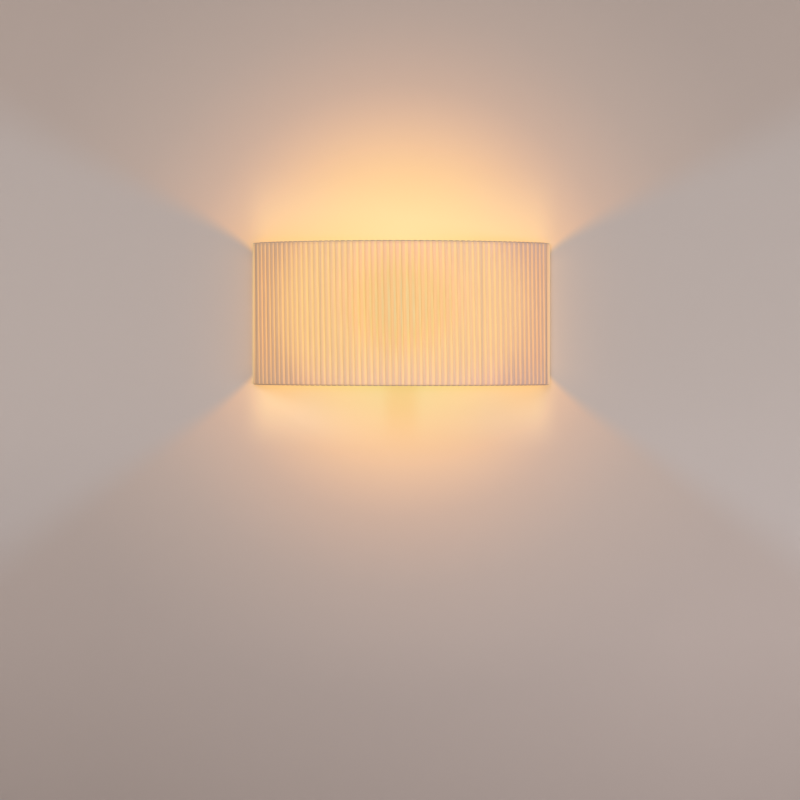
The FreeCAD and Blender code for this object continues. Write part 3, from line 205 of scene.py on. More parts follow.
def opaque(value):
    """Four numbers for a colour socket; a socket passes through."""
    return value if isinstance(value, bpy.types.NodeSocket) else (*value, 1.0)


def blend(tree, factor, one, other, kind="MIX"):
    """Two colours mixed; sockets 0, 6 and 7 are the factor and the two colours."""
    inputs = {0: factor, 6: opaque(one), 7: opaque(other)}
    return put(tree, "ShaderNodeMix", inputs, data_type="RGBA", blend_type=kind).outputs[2]


def scaled(tree, tint, factor):
    """A colour times a factor."""
    return put(tree, "ShaderNodeVectorMath", {0: tint, "Scale": factor}, operation="SCALE").outputs[0]


def colour_ramp(tree, factor, stops, interpolation="LINEAR"):
    """A ramp through pairs of a position and a colour."""
    node = put(tree, "ShaderNodeValToRGB", {"Fac": factor})
    ramp = node.color_ramp
    ramp.interpolation = interpolation
    ramp.elements.remove(ramp.elements[1])
    for number, (position, tint) in enumerate(stops):
        stop = ramp.elements.new(position) if number else ramp.elements[0]
        stop.position = position
        stop.color = opaque(tint)
    return node.outputs[0]


def xyz(tree, vector):
    """The three parts of a vector."""
    return put(tree, "ShaderNodeSeparateXYZ", {0: vector}).outputs


def facing(tree):
    """The three parts of the direction in which a face looks."""
    return xyz(tree, put(tree, "ShaderNodeNewGeometry").outputs["Normal"])


def distance(tree, place, point):
    return put(tree, "ShaderNodeVectorMath", {0: place, 1: point}, operation="DISTANCE").outputs["Value"]


def hypotenuse(tree, one, other):
    """The long side of a right triangle."""
    squares = [calc(tree, "POWER", side, 2.0) for side in (one, other)]
    return calc(tree, "SQRT", calc(tree, "ADD", *squares))


def noise(tree, place, scale, detail=2.0, roughness=0.5):
    inputs = {"Vector": place, "Scale": scale, "Detail": detail, "Roughness": roughness}
    return put(tree, "ShaderNodeTexNoise", inputs).outputs["Fac"]


def bump(tree, height, depth, strength=0.6):
    inputs = {"Strength": strength, "Distance": depth, "Height": height}
    return put(tree, "ShaderNodeBump", inputs).outputs[0]


def new_group(name, inputs, outputs):
    """A node group with named sockets: (name, kind, default) in and (name, kind) out."""
    tree = bpy.data.node_groups.new(name, "ShaderNodeTree")
    for label, kind, default in inputs:
        socket = tree.interface.new_socket(label, in_out="INPUT", socket_type="NodeSocket" + kind)
        socket.default_value = default
    for label, kind in outputs:
        tree.interface.new_socket(label, in_out="OUTPUT", socket_type="NodeSocket" + kind)
    return tree, tree.nodes.new("NodeGroupInput").outputs, tree.nodes.new("NodeGroupOutput").inputs


DUST_TONE = (0.56, 0.52, 0.47)
DUST_ROUGHNESS = 0.9
# Thick and thin places of the yarn, to the metre: many across the ribbon, few along it
SLUB_SCALE = (1900.0, 38.0, 1.0)


def grain_group():
    """Slow blotches and fine grain: two tones, a range of roughness and a height."""
    tree, given, out = new_group(
        "surface_grain",
        [("Place", "Vector", (0, 0, 0)), ("Tone", "Color", (0.5, 0.5, 0.5, 1)),
         ("Second tone", "Color", (0.4, 0.4, 0.4, 1)), ("Blotches", "Float", 30.0),
         ("Grain", "Float", 900.0), ("Smooth", "Float", 0.3), ("Rough", "Float", 0.5)],
        [("Color", "Color"), ("Roughness", "Float"), ("Height", "Float")])
    slow = noise(tree, given["Place"], given["Blotches"], 3.0, 0.6)
    fine = noise(tree, given["Place"], given["Grain"])
    patch = fade(tree, slow, 0.35, 0.7)
    worn = calc(tree, "MULTIPLY_ADD", fine, 0.35, product(tree, patch, 0.65), clamp=True)
    tree.links.new(blend(tree, worn, given["Tone"], given["Second tone"]), out["Color"])
    roughness = fade(tree, worn, 0.0, 1.0, given["Smooth"], given["Rough"], "LINEAR")
    tree.links.new(roughness, out["Roughness"])
    tree.links.new(fine, out["Height"])
    return tree


def dust_group():
    """Pale dust on faces that look up."""
    tree, given, out = new_group(
        "settled_dust",
        [("Color", "Color", (0.5, 0.5, 0.5, 1)), ("Roughness", "Float", 0.5),
         ("Amount", "Float", 0.3), ("Place", "Vector", (0, 0, 0))],
        [("Color", "Color"), ("Roughness", "Float")])
    patchy = fade(tree, noise(tree, given["Place"], 160.0, 3.0, 0.65), 0.3, 0.75, 0.7, 1.0)
    lying = product(tree, fade(tree, facing(tree)[2], 0.35, 0.95), patchy)
    amount = calc(tree, "MULTIPLY", lying, given["Amount"], clamp=True)
    tree.links.new(blend(tree, amount, given["Color"], DUST_TONE), out["Color"])
    roughness = fade(tree, amount, 0.0, 1.0, given["Roughness"], DUST_ROUGHNESS, "LINEAR")
    tree.links.new(roughness, out["Roughness"])
    return tree


def weave_group():
    """Plain weave read from the ribbon's own flat map, in metres: over and under threads."""
    tree, given, out = new_group(
        "plain_weave",
        [("Flat", "Vector", (0, 0, 0)), ("Warp pitch", "Float", 0.00055),
         ("Weft pitch", "Float", 0.0007)],
        [("Thread", "Float"), ("Height", "Float"), ("Slub", "Float")])
    flat = xyz(tree, given["Flat"])
    across = calc(tree, "DIVIDE", flat[0], given["Warp pitch"])
    along = calc(tree, "DIVIDE", flat[1], given["Weft pitch"])
    warp = calc(tree, "SINE", product(tree, across, 2 * math.pi))
    weft = calc(tree, "SINE", product(tree, along, 2 * math.pi))
    cells = [calc(tree, "SINE", product(tree, way, math.pi)) for way in (across, along)]
    over = calc(tree, "SIGN", product(tree, *cells))
    top = put(tree, "ShaderNodeMix", {0: fade(tree, over, -0.5, 0.5), 2: warp, 3: weft}).outputs[0]
    stretched = put(tree, "ShaderNodeMapping", {"Vector": given["Flat"], "Scale": SLUB_SCALE})
    slub = noise(tree, stretched.outputs[0], 1.0, 2.0, 0.6)
    tree.links.new(fade(tree, top, -1.0, 1.0), out["Thread"])
    tree.links.new(calc(tree, "MULTIPLY_ADD", slub, 0.8, product(tree, top, 0.3)), out["Height"])
    tree.links.new(slub, out["Slub"])
    return tree


GROUPS = {"surface_grain": grain_group, "settled_dust": dust_group, "plain_weave": weave_group}


def group_node(tree, name, inputs):
    """One of the node groups, which is made the first time that it is asked for."""
    group = bpy.data.node_groups.get(name) or GROUPS[name]()
    return put(tree, "ShaderNodeGroup", inputs, node_tree=group).outputs


def new_material(name):
    """An empty material: its tree, its Principled shader and its object coordinates."""
    material = bpy.data.materials.new(name)
    material.use_nodes = True
    tree = material.node_tree
    tree.nodes.clear()
    shader = put(tree, "ShaderNodeBsdfPrincipled")
    put(tree, "ShaderNodeOutputMaterial", {"Surface": shader.outputs[0]})
    place = put(tree, "ShaderNodeTexCoord").outputs["Object"]
    return material, tree, shader, place


def darker(tone, factor):
    return tuple(factor * value for value in tone)


def grained(tree, place, tone, second, smooth, rough, blotches, grain):
    """Colour, roughness and height of a grained surface."""
    return group_node(tree, "surface_grain", {
        "Place": place, "Tone": opaque(tone), "Second tone": opaque(second), "Blotches": blotches,
        "Grain": grain, "Smooth": smooth, "Rough": rough})


def finish_material(name, tone, second, smooth, rough, blotches=40.0, grain=900.0,
                    stretch=(1, 1, 1), relief=0.00004, dust=0.0, coat=0.0, metal=0.0, **plain):
    """Two tones, a range of roughness, grain that may run one way, its relief in metres, a little
    dust and a clear coat. plain goes straight to the shader."""
    material, tree, shader, place = new_material(name)
    place = put(tree, "ShaderNodeMapping", {"Vector": place, "Scale": stretch}).outputs[0]
    bare = grained(tree, place, tone, second, smooth, rough, blotches, grain)
    surface = bare
    if dust:
        surface = group_node(tree, "settled_dust", {
            "Color": bare["Color"], "Roughness": bare["Roughness"], "Amount": dust, "Place": place})
    fill(tree, shader, {
        "Base Color": surface["Color"], "Roughness": surface["Roughness"], "Coat Weight": coat,
        "Metallic": metal, "Normal": bump(tree, bare["Height"], relief), **plain})
    return material


def dress(material, *nodes):
    """Give CAD nodes a material."""
    for node in nodes:
        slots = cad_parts[node].data.materials
        slots.clear()
        slots.append(material)


def finish(nodes, *look, **more):
    """Give CAD nodes a solid finish."""
    dress(finish_material(*look, **more), *nodes)


def new_object(name, mesh_builder, material):
    """An object at the origin, made from a finished mesh."""
    mesh = bpy.data.meshes.new(name)
    mesh_builder.to_mesh(mesh)
    mesh_builder.free()
    mesh.materials.append(material)
    item = bpy.data.objects.new(name, mesh)
    bpy.context.scene.collection.objects.link(item)
    return item


# ---- The wound ribbon ----

# Steps along one turn, and columns across it
FRONT_STEPS = 14
FOLD_STEPS = 6
BACK_STEPS = 10
TURN_STEPS = FRONT_STEPS + FOLD_STEPS + BACK_STEPS + FOLD_STEPS
COLUMNS = 5
# A turn steps down this far past the edge of the one before, over this width, in metres
STEP_PAST = 0.0002
STEP_WIDTH = 0.0006
# A turn sways by this part of the unevenness, through this many radians from the middle to a rim
SWAY_SHARE = 0.6
SWAY_RUN = 9
RIBBON_SEED = 5
# The back of the shade closes up from the first angle on, and ends at the second
SQUEEZE_FROM = math.radians(45)
BACK_HALF = math.radians(52.0)


class Winding:
    """Where each point of the flat ribbon lies once it is wound round the two curved wires."""

    def __init__(self, sizes):
        self.sizes = sizes
        self.radius = (SHADE_HIGH.x ** 2 + sizes.bow ** 2) / (2 * sizes.bow)
        self.half = math.asin(SHADE_HIGH.x / self.radius)
        self.centre = SHADE_LOW.y + self.radius
        self.wire = self.radius - 2 * sizes.ply - sizes.stand
        self.level = SHADE_HIGH.z - 2 * sizes.ply - sizes.stand
        self.pitch = 2 * self.half / sizes.turns - sizes.lap / self.radius / sizes.turns
        self.width = self.pitch + sizes.lap / self.radius
        chance = random.Random(RIBBON_SEED)
        self.strays = [chance.uniform(-1, 1) for _ in range(sizes.turns)]
        self.waves = [chance.uniform(0, 2 * math.pi) for _ in range(sizes.turns)]
        self.tones = [chance.uniform(0, 1) for _ in range(sizes.turns)]

    def station(self, step):
        """Side of the wires, height and lean of one step of a turn."""
        if step <= FRONT_STEPS:
            part = step / FRONT_STEPS
            return 0.0, self.level * (1 - 2 * part), (2 * part - 1) * self.sizes.lean
        step -= FRONT_STEPS
        if step <= FOLD_STEPS:
            return step / FOLD_STEPS, -self.level, self.sizes.lean
        step -= FOLD_STEPS
        if step <= BACK_STEPS:
            part = step / BACK_STEPS
            lean = self.sizes.lean + part * (1 - 2 * self.sizes.lean)
            return 1.0, self.level * (2 * part - 1), lean
        return 1 - (step - BACK_STEPS) / FOLD_STEPS, self.level, 1 - self.sizes.lean

    def edges(self, turn, step):
        """Angles of a turn's two edges at one step."""
        fold, height, lean = self.station(step)
        sway = SWAY_SHARE * math.sin(self.waves[turn] + SWAY_RUN * height / self.level)
        stray = (self.strays[turn] + sway) * self.sizes.unevenness / self.radius
        left = -self.half + (turn + lean) * self.pitch + stray
        right = left + self.width
        # The first and the last turn fill the corners of the front
        held = 1 - max(0.0, 2 * fold - 1)
        into = turn + (step > TURN_STEPS - FOLD_STEPS)
        if into == 0:
            left += held * (-self.half - left)
        if into == self.sizes.turns - 1:
            right += held * (self.half - right)
        return [self.squeezed(min(max(angle, -self.half), self.half), fold) for angle in (left, right)]

    def squeezed(self, angle, fold):
        """The back of the shade ends short of its front, so its last turns lie closer."""
        over = abs(angle) - SQUEEZE_FROM
        fold = max(0.0, 2 * fold - 1)
        if over <= 0:
            return angle
        full = self.half - SQUEEZE_FROM
        short = SQUEEZE_FROM + over * (1 - fold * (self.half - BACK_HALF) / full * over / full)
        return math.copysign(short, angle)

    def across(self, turn, step):
        """Angle and layer of the columns from one edge of a turn to the other."""
        left, right = self.edges(turn, step)
        if turn <= 0:
            return [(left + (right - left) * column / COLUMNS, 0.0) for column in range(COLUMNS + 1)]
        # Where turns lie so close that the lap or the step would vanish, a part of the turn is kept
        lapped = max(self.edges(turn - 1, step)[1] + STEP_PAST / self.radius, left + 0.1 * (right - left))
        ramp = min(STEP_WIDTH / self.radius, 0.3 * (right - lapped))
        rest = right - lapped - ramp
        return [(left, 1.0), ((left + lapped) / 2, 1.0), (lapped, 1.0), (lapped + ramp, 0.0),
                (lapped + ramp + rest / 2, 0.0), (right, 0.0)]

    def place(self, turn, step, column):
        """The point, and the layer that it is in."""
        angle, layer = self.across(turn, step)[column]
        fold, height, _ = self.station(step)
        reach = self.sizes.stand + self.sizes.ply * (0.5 + layer)
        along = math.cos(math.pi * fold) * reach
        rise = math.sin(math.pi * fold) * reach
        radius = self.wire + along
        height += math.copysign(rise, height) if 0.0 < fold < 1.0 else 0.0
        point = Vector((radius * math.sin(angle), self.centre - radius * math.cos(angle), height))
        return point, layer

    def upright_angles(self):
        """Angles of a side upright and of an end upright round the shade's centre."""
        found = []
        for node in ("front_upright_right", "end_upright_right"):
            low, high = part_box(node)
            found.append(math.atan2((low.x + high.x) / 2, self.centre - (low.y + high.y) / 2))
        return found


def wound_ribbon(sizes, winding):
    """One flat strip, bent turn by turn round the wires, and its width and length when flat."""
    rows = sizes.turns * TURN_STEPS
    strip = bmesh.new()
    bmesh.ops.create_grid(strip, x_segments=COLUMNS, y_segments=rows, size=1.0, calc_uvs=False)
    lapped = strip.verts.layers.float.new("lapped")
    tone = strip.verts.layers.float.new("tone")
    flat = strip.loops.layers.uv.new("flat")
    turn_length = 4 * winding.level + 2 * math.pi * (sizes.stand + sizes.ply)
    on_grid = []
    for vert in strip.verts:
        column = round((vert.co.x + 1) / 2 * COLUMNS)
        row = round((1 - vert.co.y) / 2 * rows)
        turn, step = divmod(row - FOLD_STEPS, TURN_STEPS)
        on_grid.append((column, row))
        vert.co, vert[lapped] = winding.place(turn, step, column)
        vert[tone] = winding.tones[turn]
    width = winding.width * winding.radius
    for face in strip.faces:
        for loop in face.loops:
            column, row = on_grid[loop.vert.index]
            loop[flat].uv = (column / COLUMNS * width, row / TURN_STEPS * turn_length)
    return strip, (width, turn_length * rows / TURN_STEPS)


# ---- The light in the ribbon ----

# The laps of the back layer show beside the bulb, up to the first angle in full and to the second
# at all. They take this share of the light, and their edges are blurred by this part of a pitch.
BACK_SEEN = (math.radians(14), math.radians(34))
BACK_DIM = 0.07
BACK_BLUR = 0.13
# Shadows of the middle, the side and the end uprights: share of the light and half width
UPRIGHT_SHADOWS = ((0.14, 0.0012), (0.18, 0.0013), (0.42, 0.0021))
# Dark lines along the folds: where they start and stop, measured from the wires' level, and what
# they leave of the light. The weak line leaves more below, and both start a little later there.
WEAK_LINE = (-0.0018, -0.0012)
WEAK_LINE_LEAVES = (0.88, 0.98)
STRONG_LINE = (0.0010, 0.0022)
STRONG_LINE_LEAVES = 0.12
LOWER_LINE_LATER = 0.0002
# Laps are redder round a point this far above the middle of the bulb, in full up to the first
# distance and not at all past the second
REDDEST_ABOVE_BULB = 0.015
REDDER_TO = (0.075, 0.10)
# Where one light turns into the next, by distance from the bulb
SPOT_EDGE = (0.05, 0.066)
MIDDLE_FROM = (0.05, 0.09)
FAR_FROM = (0.11, 0.20)
# The same by distance from the shade's end, for the last turns and for their outer edge
LAST_TURNS = (0.006, 0.022)
SELVEDGE = (0.001, 0.0032)


class RibbonPoint:
    """What the ribbon's material knows of a point: where it lies, its layer and its turn."""

    def __init__(self, tree, place, winding):
        self.place = place
        self.lapped = put(tree, "ShaderNodeAttribute", attribute_name="lapped").outputs["Fac"]
        self.tone = put(tree, "ShaderNodeAttribute", attribute_name="tone").outputs["Fac"]
        x, y, self.z = xyz(tree, place)
        self.angle = calc(tree, "ARCTAN2", x, minus(tree, winding.centre, y))
        self.turned = calc(tree, "ABSOLUTE", self.angle)
        self.from_end = product(tree, minus(tree, winding.half, self.turned), winding.radius)
        self.height = calc(tree, "DIVIDE", self.z, winding.level)
        self.rim = calc(tree, "POWER", calc(tree, "ABSOLUTE", self.height), 3.0)
        self.away = distance(tree, place, BULB_MIDDLE)


def lap_shadows(tree, at, sizes, winding):
    """Light left by the laps in front and by those of the back layer."""
    phase = calc(tree, "DIVIDE", calc(tree, "ADD", at.angle, winding.half), winding.pitch)
    behind = minus(tree, phase, calc(tree, "MULTIPLY_ADD", at.height, 0.5 - sizes.lean, 0.5))
    half_lap = sizes.lap / winding.radius / winding.pitch / 2
    from_lap = calc(tree, "FRACT", calc(tree, "ADD", behind, 0.5 - half_lap))
    from_lap = calc(tree, "ABSOLUTE", minus(tree, from_lap, 0.5))
    back_lap = fade(tree, from_lap, half_lap - BACK_BLUR, half_lap + BACK_BLUR, 1.0, 0.0)
    back_dim = product(tree, fade(tree, at.turned, *BACK_SEEN, 1.0, 0.0), BACK_DIM)
    front_dim = calc(tree, "ADD", fade(tree, at.away, 0.05, 0.14, 0.14, 0.27, "LINEAR"),
                     fade(tree, at.away, 0.135, 0.17, 0.0, 0.20))
    return product(tree, left_after(tree, at.lapped, front_dim), left_after(tree, back_lap, back_dim))


def upright_shadows(tree, at, sizes, winding):
    """Light left by the uprights in the winding."""
    side, end = winding.upright_angles()
    angles = (0.0, side - sizes.shadow_shift / winding.radius, end)
    left = 1.0
    for angle, (depth, half_width) in zip(angles, UPRIGHT_SHADOWS):
        turned_off = calc(tree, "ABSOLUTE", minus(tree, at.turned, angle))
        off = product(tree, turned_off, winding.radius)
        shadow = fade(tree, off, 0.4 * half_width, 1.4 * half_width, 1.0 - depth, 1.0)
        left = product(tree, left, shadow)
    return left


def fold_lines(tree, at, sizes, winding):
    """Light left by the wires in the folds, on each layer, and a little dimmer towards the bottom."""
    lower = fade(tree, at.height, -0.1, 0.1, 1.0, 0.0)
    later = product(tree, lower, LOWER_LINE_LATER)
    tall = minus(tree, calc(tree, "ABSOLUTE", at.z), product(tree, at.lapped, sizes.ply))
    tall = minus(tree, tall, later)
    left = fade(tree, at.height, -1.0, -0.5, 0.965, 1.0)
    weak = fade(tree, lower, 0.0, 1.0, *WEAK_LINE_LEAVES)
    for (start, stop), leaves in ((WEAK_LINE, weak), (STRONG_LINE, STRONG_LINE_LEAVES)):
        line = fade(tree, tall, winding.level + start, winding.level + stop, 1.0, leaves)
        left = product(tree, left, line)
    return left


def end_shades(tree, at):
    """Less light in the corners, most on the left, and a little more in the last turn on the right."""
    corner = product(tree, at.rim, fade(tree, at.angle, -0.95, -0.83, 0.25, 0.02))
    last_turn = product(tree, minus(tree, 1.0, at.rim), fade(tree, at.angle, 0.885, 0.91, 0.0, 0.09))
    return calc(tree, "ADD", minus(tree, 1.0, corner), last_turn)


def light_tint(tree, at):
    """Laps are redder in front of the bulb and single layers less so; sides and rims are rosier."""
    over_bulb = (*BULB_MIDDLE[:2], BULB_MIDDLE[2] + REDDEST_ABOVE_BULB)
    red = product(tree, fade(tree, at.lapped, 0.0, 1.0, -0.035, 0.115, "LINEAR"),
                  fade(tree, distance(tree, at.place, over_bulb), *REDDER_TO, 1.0, 0.0))
    at_rims = product(tree, fade(tree, at.height, -0.9, 0.9, 0.06, 0.012),
                      fade(tree, at.turned, 0.45, 0.85, 1.0, 0.35))
    blue = calc(tree, "MULTIPLY_ADD", at.rim, at_rims,
                fade(tree, at.angle, -0.9, 0.9, -0.024, 0.016, "LINEAR"))
    on_laps = calc(tree, "MULTIPLY_ADD", at.rim, fade(tree, at.angle, -0.65, -0.1, 0.0, 0.055),
                   fade(tree, at.turned, 0.2, 0.5, 0.01, 0.028))
    blue = calc(tree, "MULTIPLY_ADD", at.lapped, on_laps, blue)
    return put(tree, "ShaderNodeCombineColor", {0: red, 2: blue}).outputs[0]


def light_colour(tree, at, sizes):
    """Colour of the light, by distance from the bulb and towards the ends; another one inside."""
    spot = product(tree, minus(tree, 1.0, at.lapped), fade(tree, at.away, *SPOT_EDGE, 1.0, 0.0))
    lit = blend(tree, spot, sizes.near_light, sizes.bulb_spot)
    lit = blend(tree, fade(tree, at.away, *MIDDLE_FROM), lit, sizes.middle_light)
    lit = blend(tree, fade(tree, at.away, *FAR_FROM), lit, sizes.far_light)
    lit = blend(tree, fade(tree, at.from_end, *LAST_TURNS, 1.0, 0.0), lit, sizes.end_light)
    at_corner = product(tree, at.rim, fade(tree, at.turned, 0.45, 0.85, 0.0, 0.9))
    lit = blend(tree, at_corner, lit, sizes.end_light)
    lit = blend(tree, 1.0, lit, light_tint(tree, at), "ADD")
    look = facing(tree)
    outwards = minus(tree, product(tree, look[0], calc(tree, "SINE", at.angle)),
                     product(tree, look[1], calc(tree, "COSINE", at.angle)))
    return blend(tree, fade(tree, outwards, -0.7, -0.2, 1.0, 0.0), lit, sizes.inside_light)


def ribbon_material(sizes, winding):
    """Raw woven ribbon with the bulb's light coming through."""
    material, tree, shader, place = new_material("raw_ribbon")
    flat = put(tree, "ShaderNodeUVMap", uv_map="flat").outputs[0]
    weave = group_node(tree, "plain_weave", {"Flat": flat})
    at = RibbonPoint(tree, place, winding)
    through = product(
        tree, lap_shadows(tree, at, sizes, winding), upright_shadows(tree, at, sizes, winding),
        fold_lines(tree, at, sizes, winding), end_shades(tree, at),
        fade(tree, at.tone, 0.0, 1.0, 0.95, 1.05, "LINEAR"),
        fade(tree, weave["Slub"], 0.25, 0.75, 0.94, 1.06, "LINEAR"))
    glow = scaled(tree, light_colour(tree, at, sizes), through)
    selvedge = scaled(tree, tuple(sizes.selvedge_light), fade(tree, at.from_end, *SELVEDGE, 1.0, 0.0))
    glow = blend(tree, 1.0, glow, selvedge, "ADD")
    yarn = blend(tree, weave["Slub"], darker(sizes.yarn, 0.86), darker(sizes.yarn, 1.14))
    # Painted shade in the hollows between the threads darkens the yarn
    shade_between_threads = minus(tree, 1.0, weave["Thread"])
    yarn = blend(tree, product(tree, shade_between_threads, 0.25), yarn, darker(sizes.yarn, 0.6))
    roughness = fade(tree, weave["Slub"], 0.2, 0.8, 0.72, 0.92)
    fill(tree, shader, {
        "Base Color": yarn, "Roughness": roughness, "Specular IOR Level": 0.25, "Emission Color": glow,
        "Emission Strength": 1.0, "Normal": bump(tree, weave["Height"], 0.00018, 0.7)})
    return material


class WALLLIGHT_OT_ribbon(bpy.types.Operator):
    """Wind the ribbon of the shade over its two curved wires"""

    bl_idname = "wall_light.ribbon"
    bl_label = "Wind the ribbon"

    def execute(self, context):
        sizes = context.scene.wall_light_ribbon
        winding = Winding(sizes)
        strip, flat = wound_ribbon(sizes, winding)
        bmesh.ops.recalc_face_normals(strip, faces=strip.faces)
        ribbon = new_object("wound_ribbon", strip, ribbon_material(sizes, winding))
        ribbon.data.shade_smooth()
        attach(ribbon, "shade")
        solid = ribbon.modifiers.new("ply", "SOLIDIFY")
        solid.thickness = sizes.thickness
        solid.offset = 0.0
        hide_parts("ribbon_cover")
        return {"FINISHED"}


# ---- Finishes of the carried parts ----


class WALLLIGHT_OT_frame(bpy.types.Operator):
    """Coat the shade's wires, uprights and rail"""

    bl_idname = "wall_light.shade_frame"
    bl_label = "Coat the shade frame"

    def execute(self, context):
        tone = context.scene.wall_light_finish.powder
        finish(["top_wire", "bottom_wire", "end_upright_left", "end_upright_right",
                "front_upright_left", "front_upright_right", "front_upright_middle"], "coated_wire", tone,
               darker(tone, 0.9), smooth=0.32, rough=0.5, blotches=60.0, grain=1500.0, dust=0.2, coat=0.15)
        finish(["shade_rail"], "coated_bar", tone, darker(tone, 0.88), smooth=0.3, rough=0.46,
               blotches=45.0, grain=1300.0, dust=0.35, coat=0.15)
        return {"FINISHED"}


class WALLLIGHT_OT_fitting(bpy.types.Operator):
    """Finish the wall plate, canopy, hooks, bracket and their fixings"""

    bl_idname = "wall_light.wall_fitting"
    bl_label = "Finish the wall fitting"

    def execute(self, context):
        tones = context.scene.wall_light_finish
        finish(["canopy", "shade_hook_left", "shade_hook_right", "holder_bracket"], "powder_coat",
               tones.powder, darker(tones.powder, 0.92), smooth=0.34, rough=0.5, blotches=30.0,
               grain=1100.0, relief=0.00006, dust=0.4, coat=0.1)
        finish(["mounting_plate", "canopy_studs", "terminal_screws", "block_screws", "nipple_washer",
                "nipple_nut"], "zinc_plate", tones.zinc, darker(tones.zinc, 0.72), smooth=0.24,
               rough=0.48, blotches=120.0, stretch=(1, 1, 0.35), metal=1.0)
        finish(["canopy_washers", "cap_nuts", "hook_rivets", "bracket_rivets", "earth_ring",
                "thread_sleeve"], "satin_nickel", tones.nickel, darker(tones.nickel, 0.84), smooth=0.18,
               rough=0.34, blotches=90.0, grain=1600.0, relief=0.00001, metal=1.0)
        finish(["cable_grommet", "lead_bush"], "black_rubber", tones.rubber, tones.worn_rubber,
               smooth=0.55, rough=0.8, blotches=70.0, grain=1400.0, relief=0.00005, dust=0.3)
        finish(["terminal_block"], "natural_nylon", tones.nylon, darker(tones.nylon, 0.9), smooth=0.38,
               rough=0.55, blotches=60.0, grain=800.0)
        finish(["terminal_inserts", "earth_screw", "nipple", "holder_posts", "centre_contact"],
               "turned_brass", tones.brass, darker(tones.brass, 0.62), smooth=0.22, rough=0.45,
               blotches=140.0, grain=1400.0, stretch=(1, 1, 6), relief=0.00002, metal=1.0)
        return {"FINISHED"}


def lead_material(name, tone, stripe=None):
    """Glossy insulation; the earth lead has a second colour along one side."""
    material, tree, shader, place = new_material(name)
    grain = grained(tree, place, tone, darker(tone, 0.8), smooth=0.32, rough=0.48, blotches=90.0,
                    grain=1200.0)
    shade = grain["Color"]
    if stripe:
        shade = blend(tree, fade(tree, facing(tree)[0], -0.06, 0.06), shade, stripe)
    fill(tree, shader, {"Base Color": shade, "Roughness": grain["Roughness"],
                        "Normal": bump(tree, grain["Height"], 0.00002)})
    return material


class WALLLIGHT_OT_leads(bpy.types.Operator):
    """Colour the insulated leads"""

    bl_idname = "wall_light.leads"
    bl_label = "Colour the leads"

    def execute(self, context):
        tones = context.scene.wall_light_finish
        dress(lead_material("brown_insulation", tones.live), "live_lead")
        dress(lead_material("blue_insulation", tones.neutral), "neutral_lead")
        dress(lead_material("earth_insulation", tones.earth, tones.earth_stripe), "earth_lead")
        return {"FINISHED"}


class WALLLIGHT_OT_holder(bpy.types.Operator):
    """Finish the lampholder"""

    bl_idname = "wall_light.lampholder"
    bl_label = "Finish the lampholder"

    def execute(self, context):
        tones = context.scene.wall_light_finish
        finish(["holder_base", "holder_skirt"], "lampholder_moulding", tones.moulding,
               darker(tones.moulding, 0.92), smooth=0.22, rough=0.4, blotches=35.0, grain=700.0,
               relief=0.00002, dust=0.35, coat=0.2)
        finish(["holder_core"], "glazed_ceramic", tones.ceramic, darker(tones.ceramic, 0.93), smooth=0.12,
               rough=0.3, blotches=50.0, grain=600.0, relief=0.00003, coat=0.4)
        return {"FINISHED"}


# Height over which the globe's light fades into its neck
NECK = 0.02


def opal_material(tones):
    """Opal glass with the light in it, less in the neck and a little cloudy."""
    material, tree, shader, place = new_material("lit_opal_glass")
    neck = fade(tree, xyz(tree, place)[2], BULB_LOW.z, BULB_LOW.z + NECK, 0.55, 1.0)
    cloudy = fade(tree, noise(tree, place, 55.0), 0.3, 0.7, 0.94, 1.0)
    glow = scaled(tree, tuple(tones.opal_light), product(tree, neck, cloudy))
    grain = grained(tree, place, tones.opal, darker(tones.opal, 0.95), smooth=0.08, rough=0.16,
                    blotches=40.0, grain=500.0)
    fill(tree, shader, {
        "Base Color": grain["Color"], "Roughness": grain["Roughness"], "Coat Weight": 0.3,
        "Emission Color": glow, "Emission Strength": 1.0,
        "Normal": bump(tree, grain["Height"], 0.000004)})
    return material


class WALLLIGHT_OT_bulb(bpy.types.Operator):
    """Finish the bulb and light it"""

    bl_idname = "wall_light.bulb"
    bl_label = "Finish the bulb"

    def execute(self, context):
        tones = context.scene.wall_light_finish
        dress(opal_material(tones), "bulb_glass")
        finish(["bulb_cap"], "bulb_cap_metal", tones.cap, tones.worn_cap, smooth=0.2, rough=0.42,
               blotches=150.0, grain=1500.0, stretch=(1, 1, 4), relief=0.00001, metal=1.0)
        finish(["cap_insulator"], "black_glass", tones.cap_glass, tones.worn_cap_glass,
               smooth=0.06, rough=0.2)
        finish(["cap_contact"], "dull_solder", tones.solder, tones.worn_solder, smooth=0.3,
               rough=0.6, blotches=400.0, grain=2500.0, relief=0.0001, metal=1.0)
        finish(["bulb_stem"], "stem_glass", tones.stem, tones.stem_shade, smooth=0.04, rough=0.1)
        finish(["bulb_filament"], "filament_strip", tones.filament, tones.filament_shade,
               smooth=0.5, rough=0.7, **{"Emission Color": opaque(tones.filament_light),
                                         "Emission Strength": 0.8})
        return {"FINISHED"}


# ---- Stage ----

# Distance on the wall from the middle of the glow, and the light that the lamp adds there
WALL_GLOW = (
    (0.0, (0.60, 0.44, 0.17)),
    (0.08, (0.46, 0.38, 0.045)),
    (0.145, (0.645, 0.325, 0.022)),
    (0.21, (0.40, 0.186, 0.053)),
    (0.27, (0.175, 0.082, 0.034)),
    (0.36, (0.053, 0.035, 0.023)),
    (0.50, (0.0, 0.0, 0.0)),
)
GLOW_REACH = WALL_GLOW[-1][0]
# The middle of the glow lies this far above the middle of the shade
GLOW_LEVEL = 0.0165
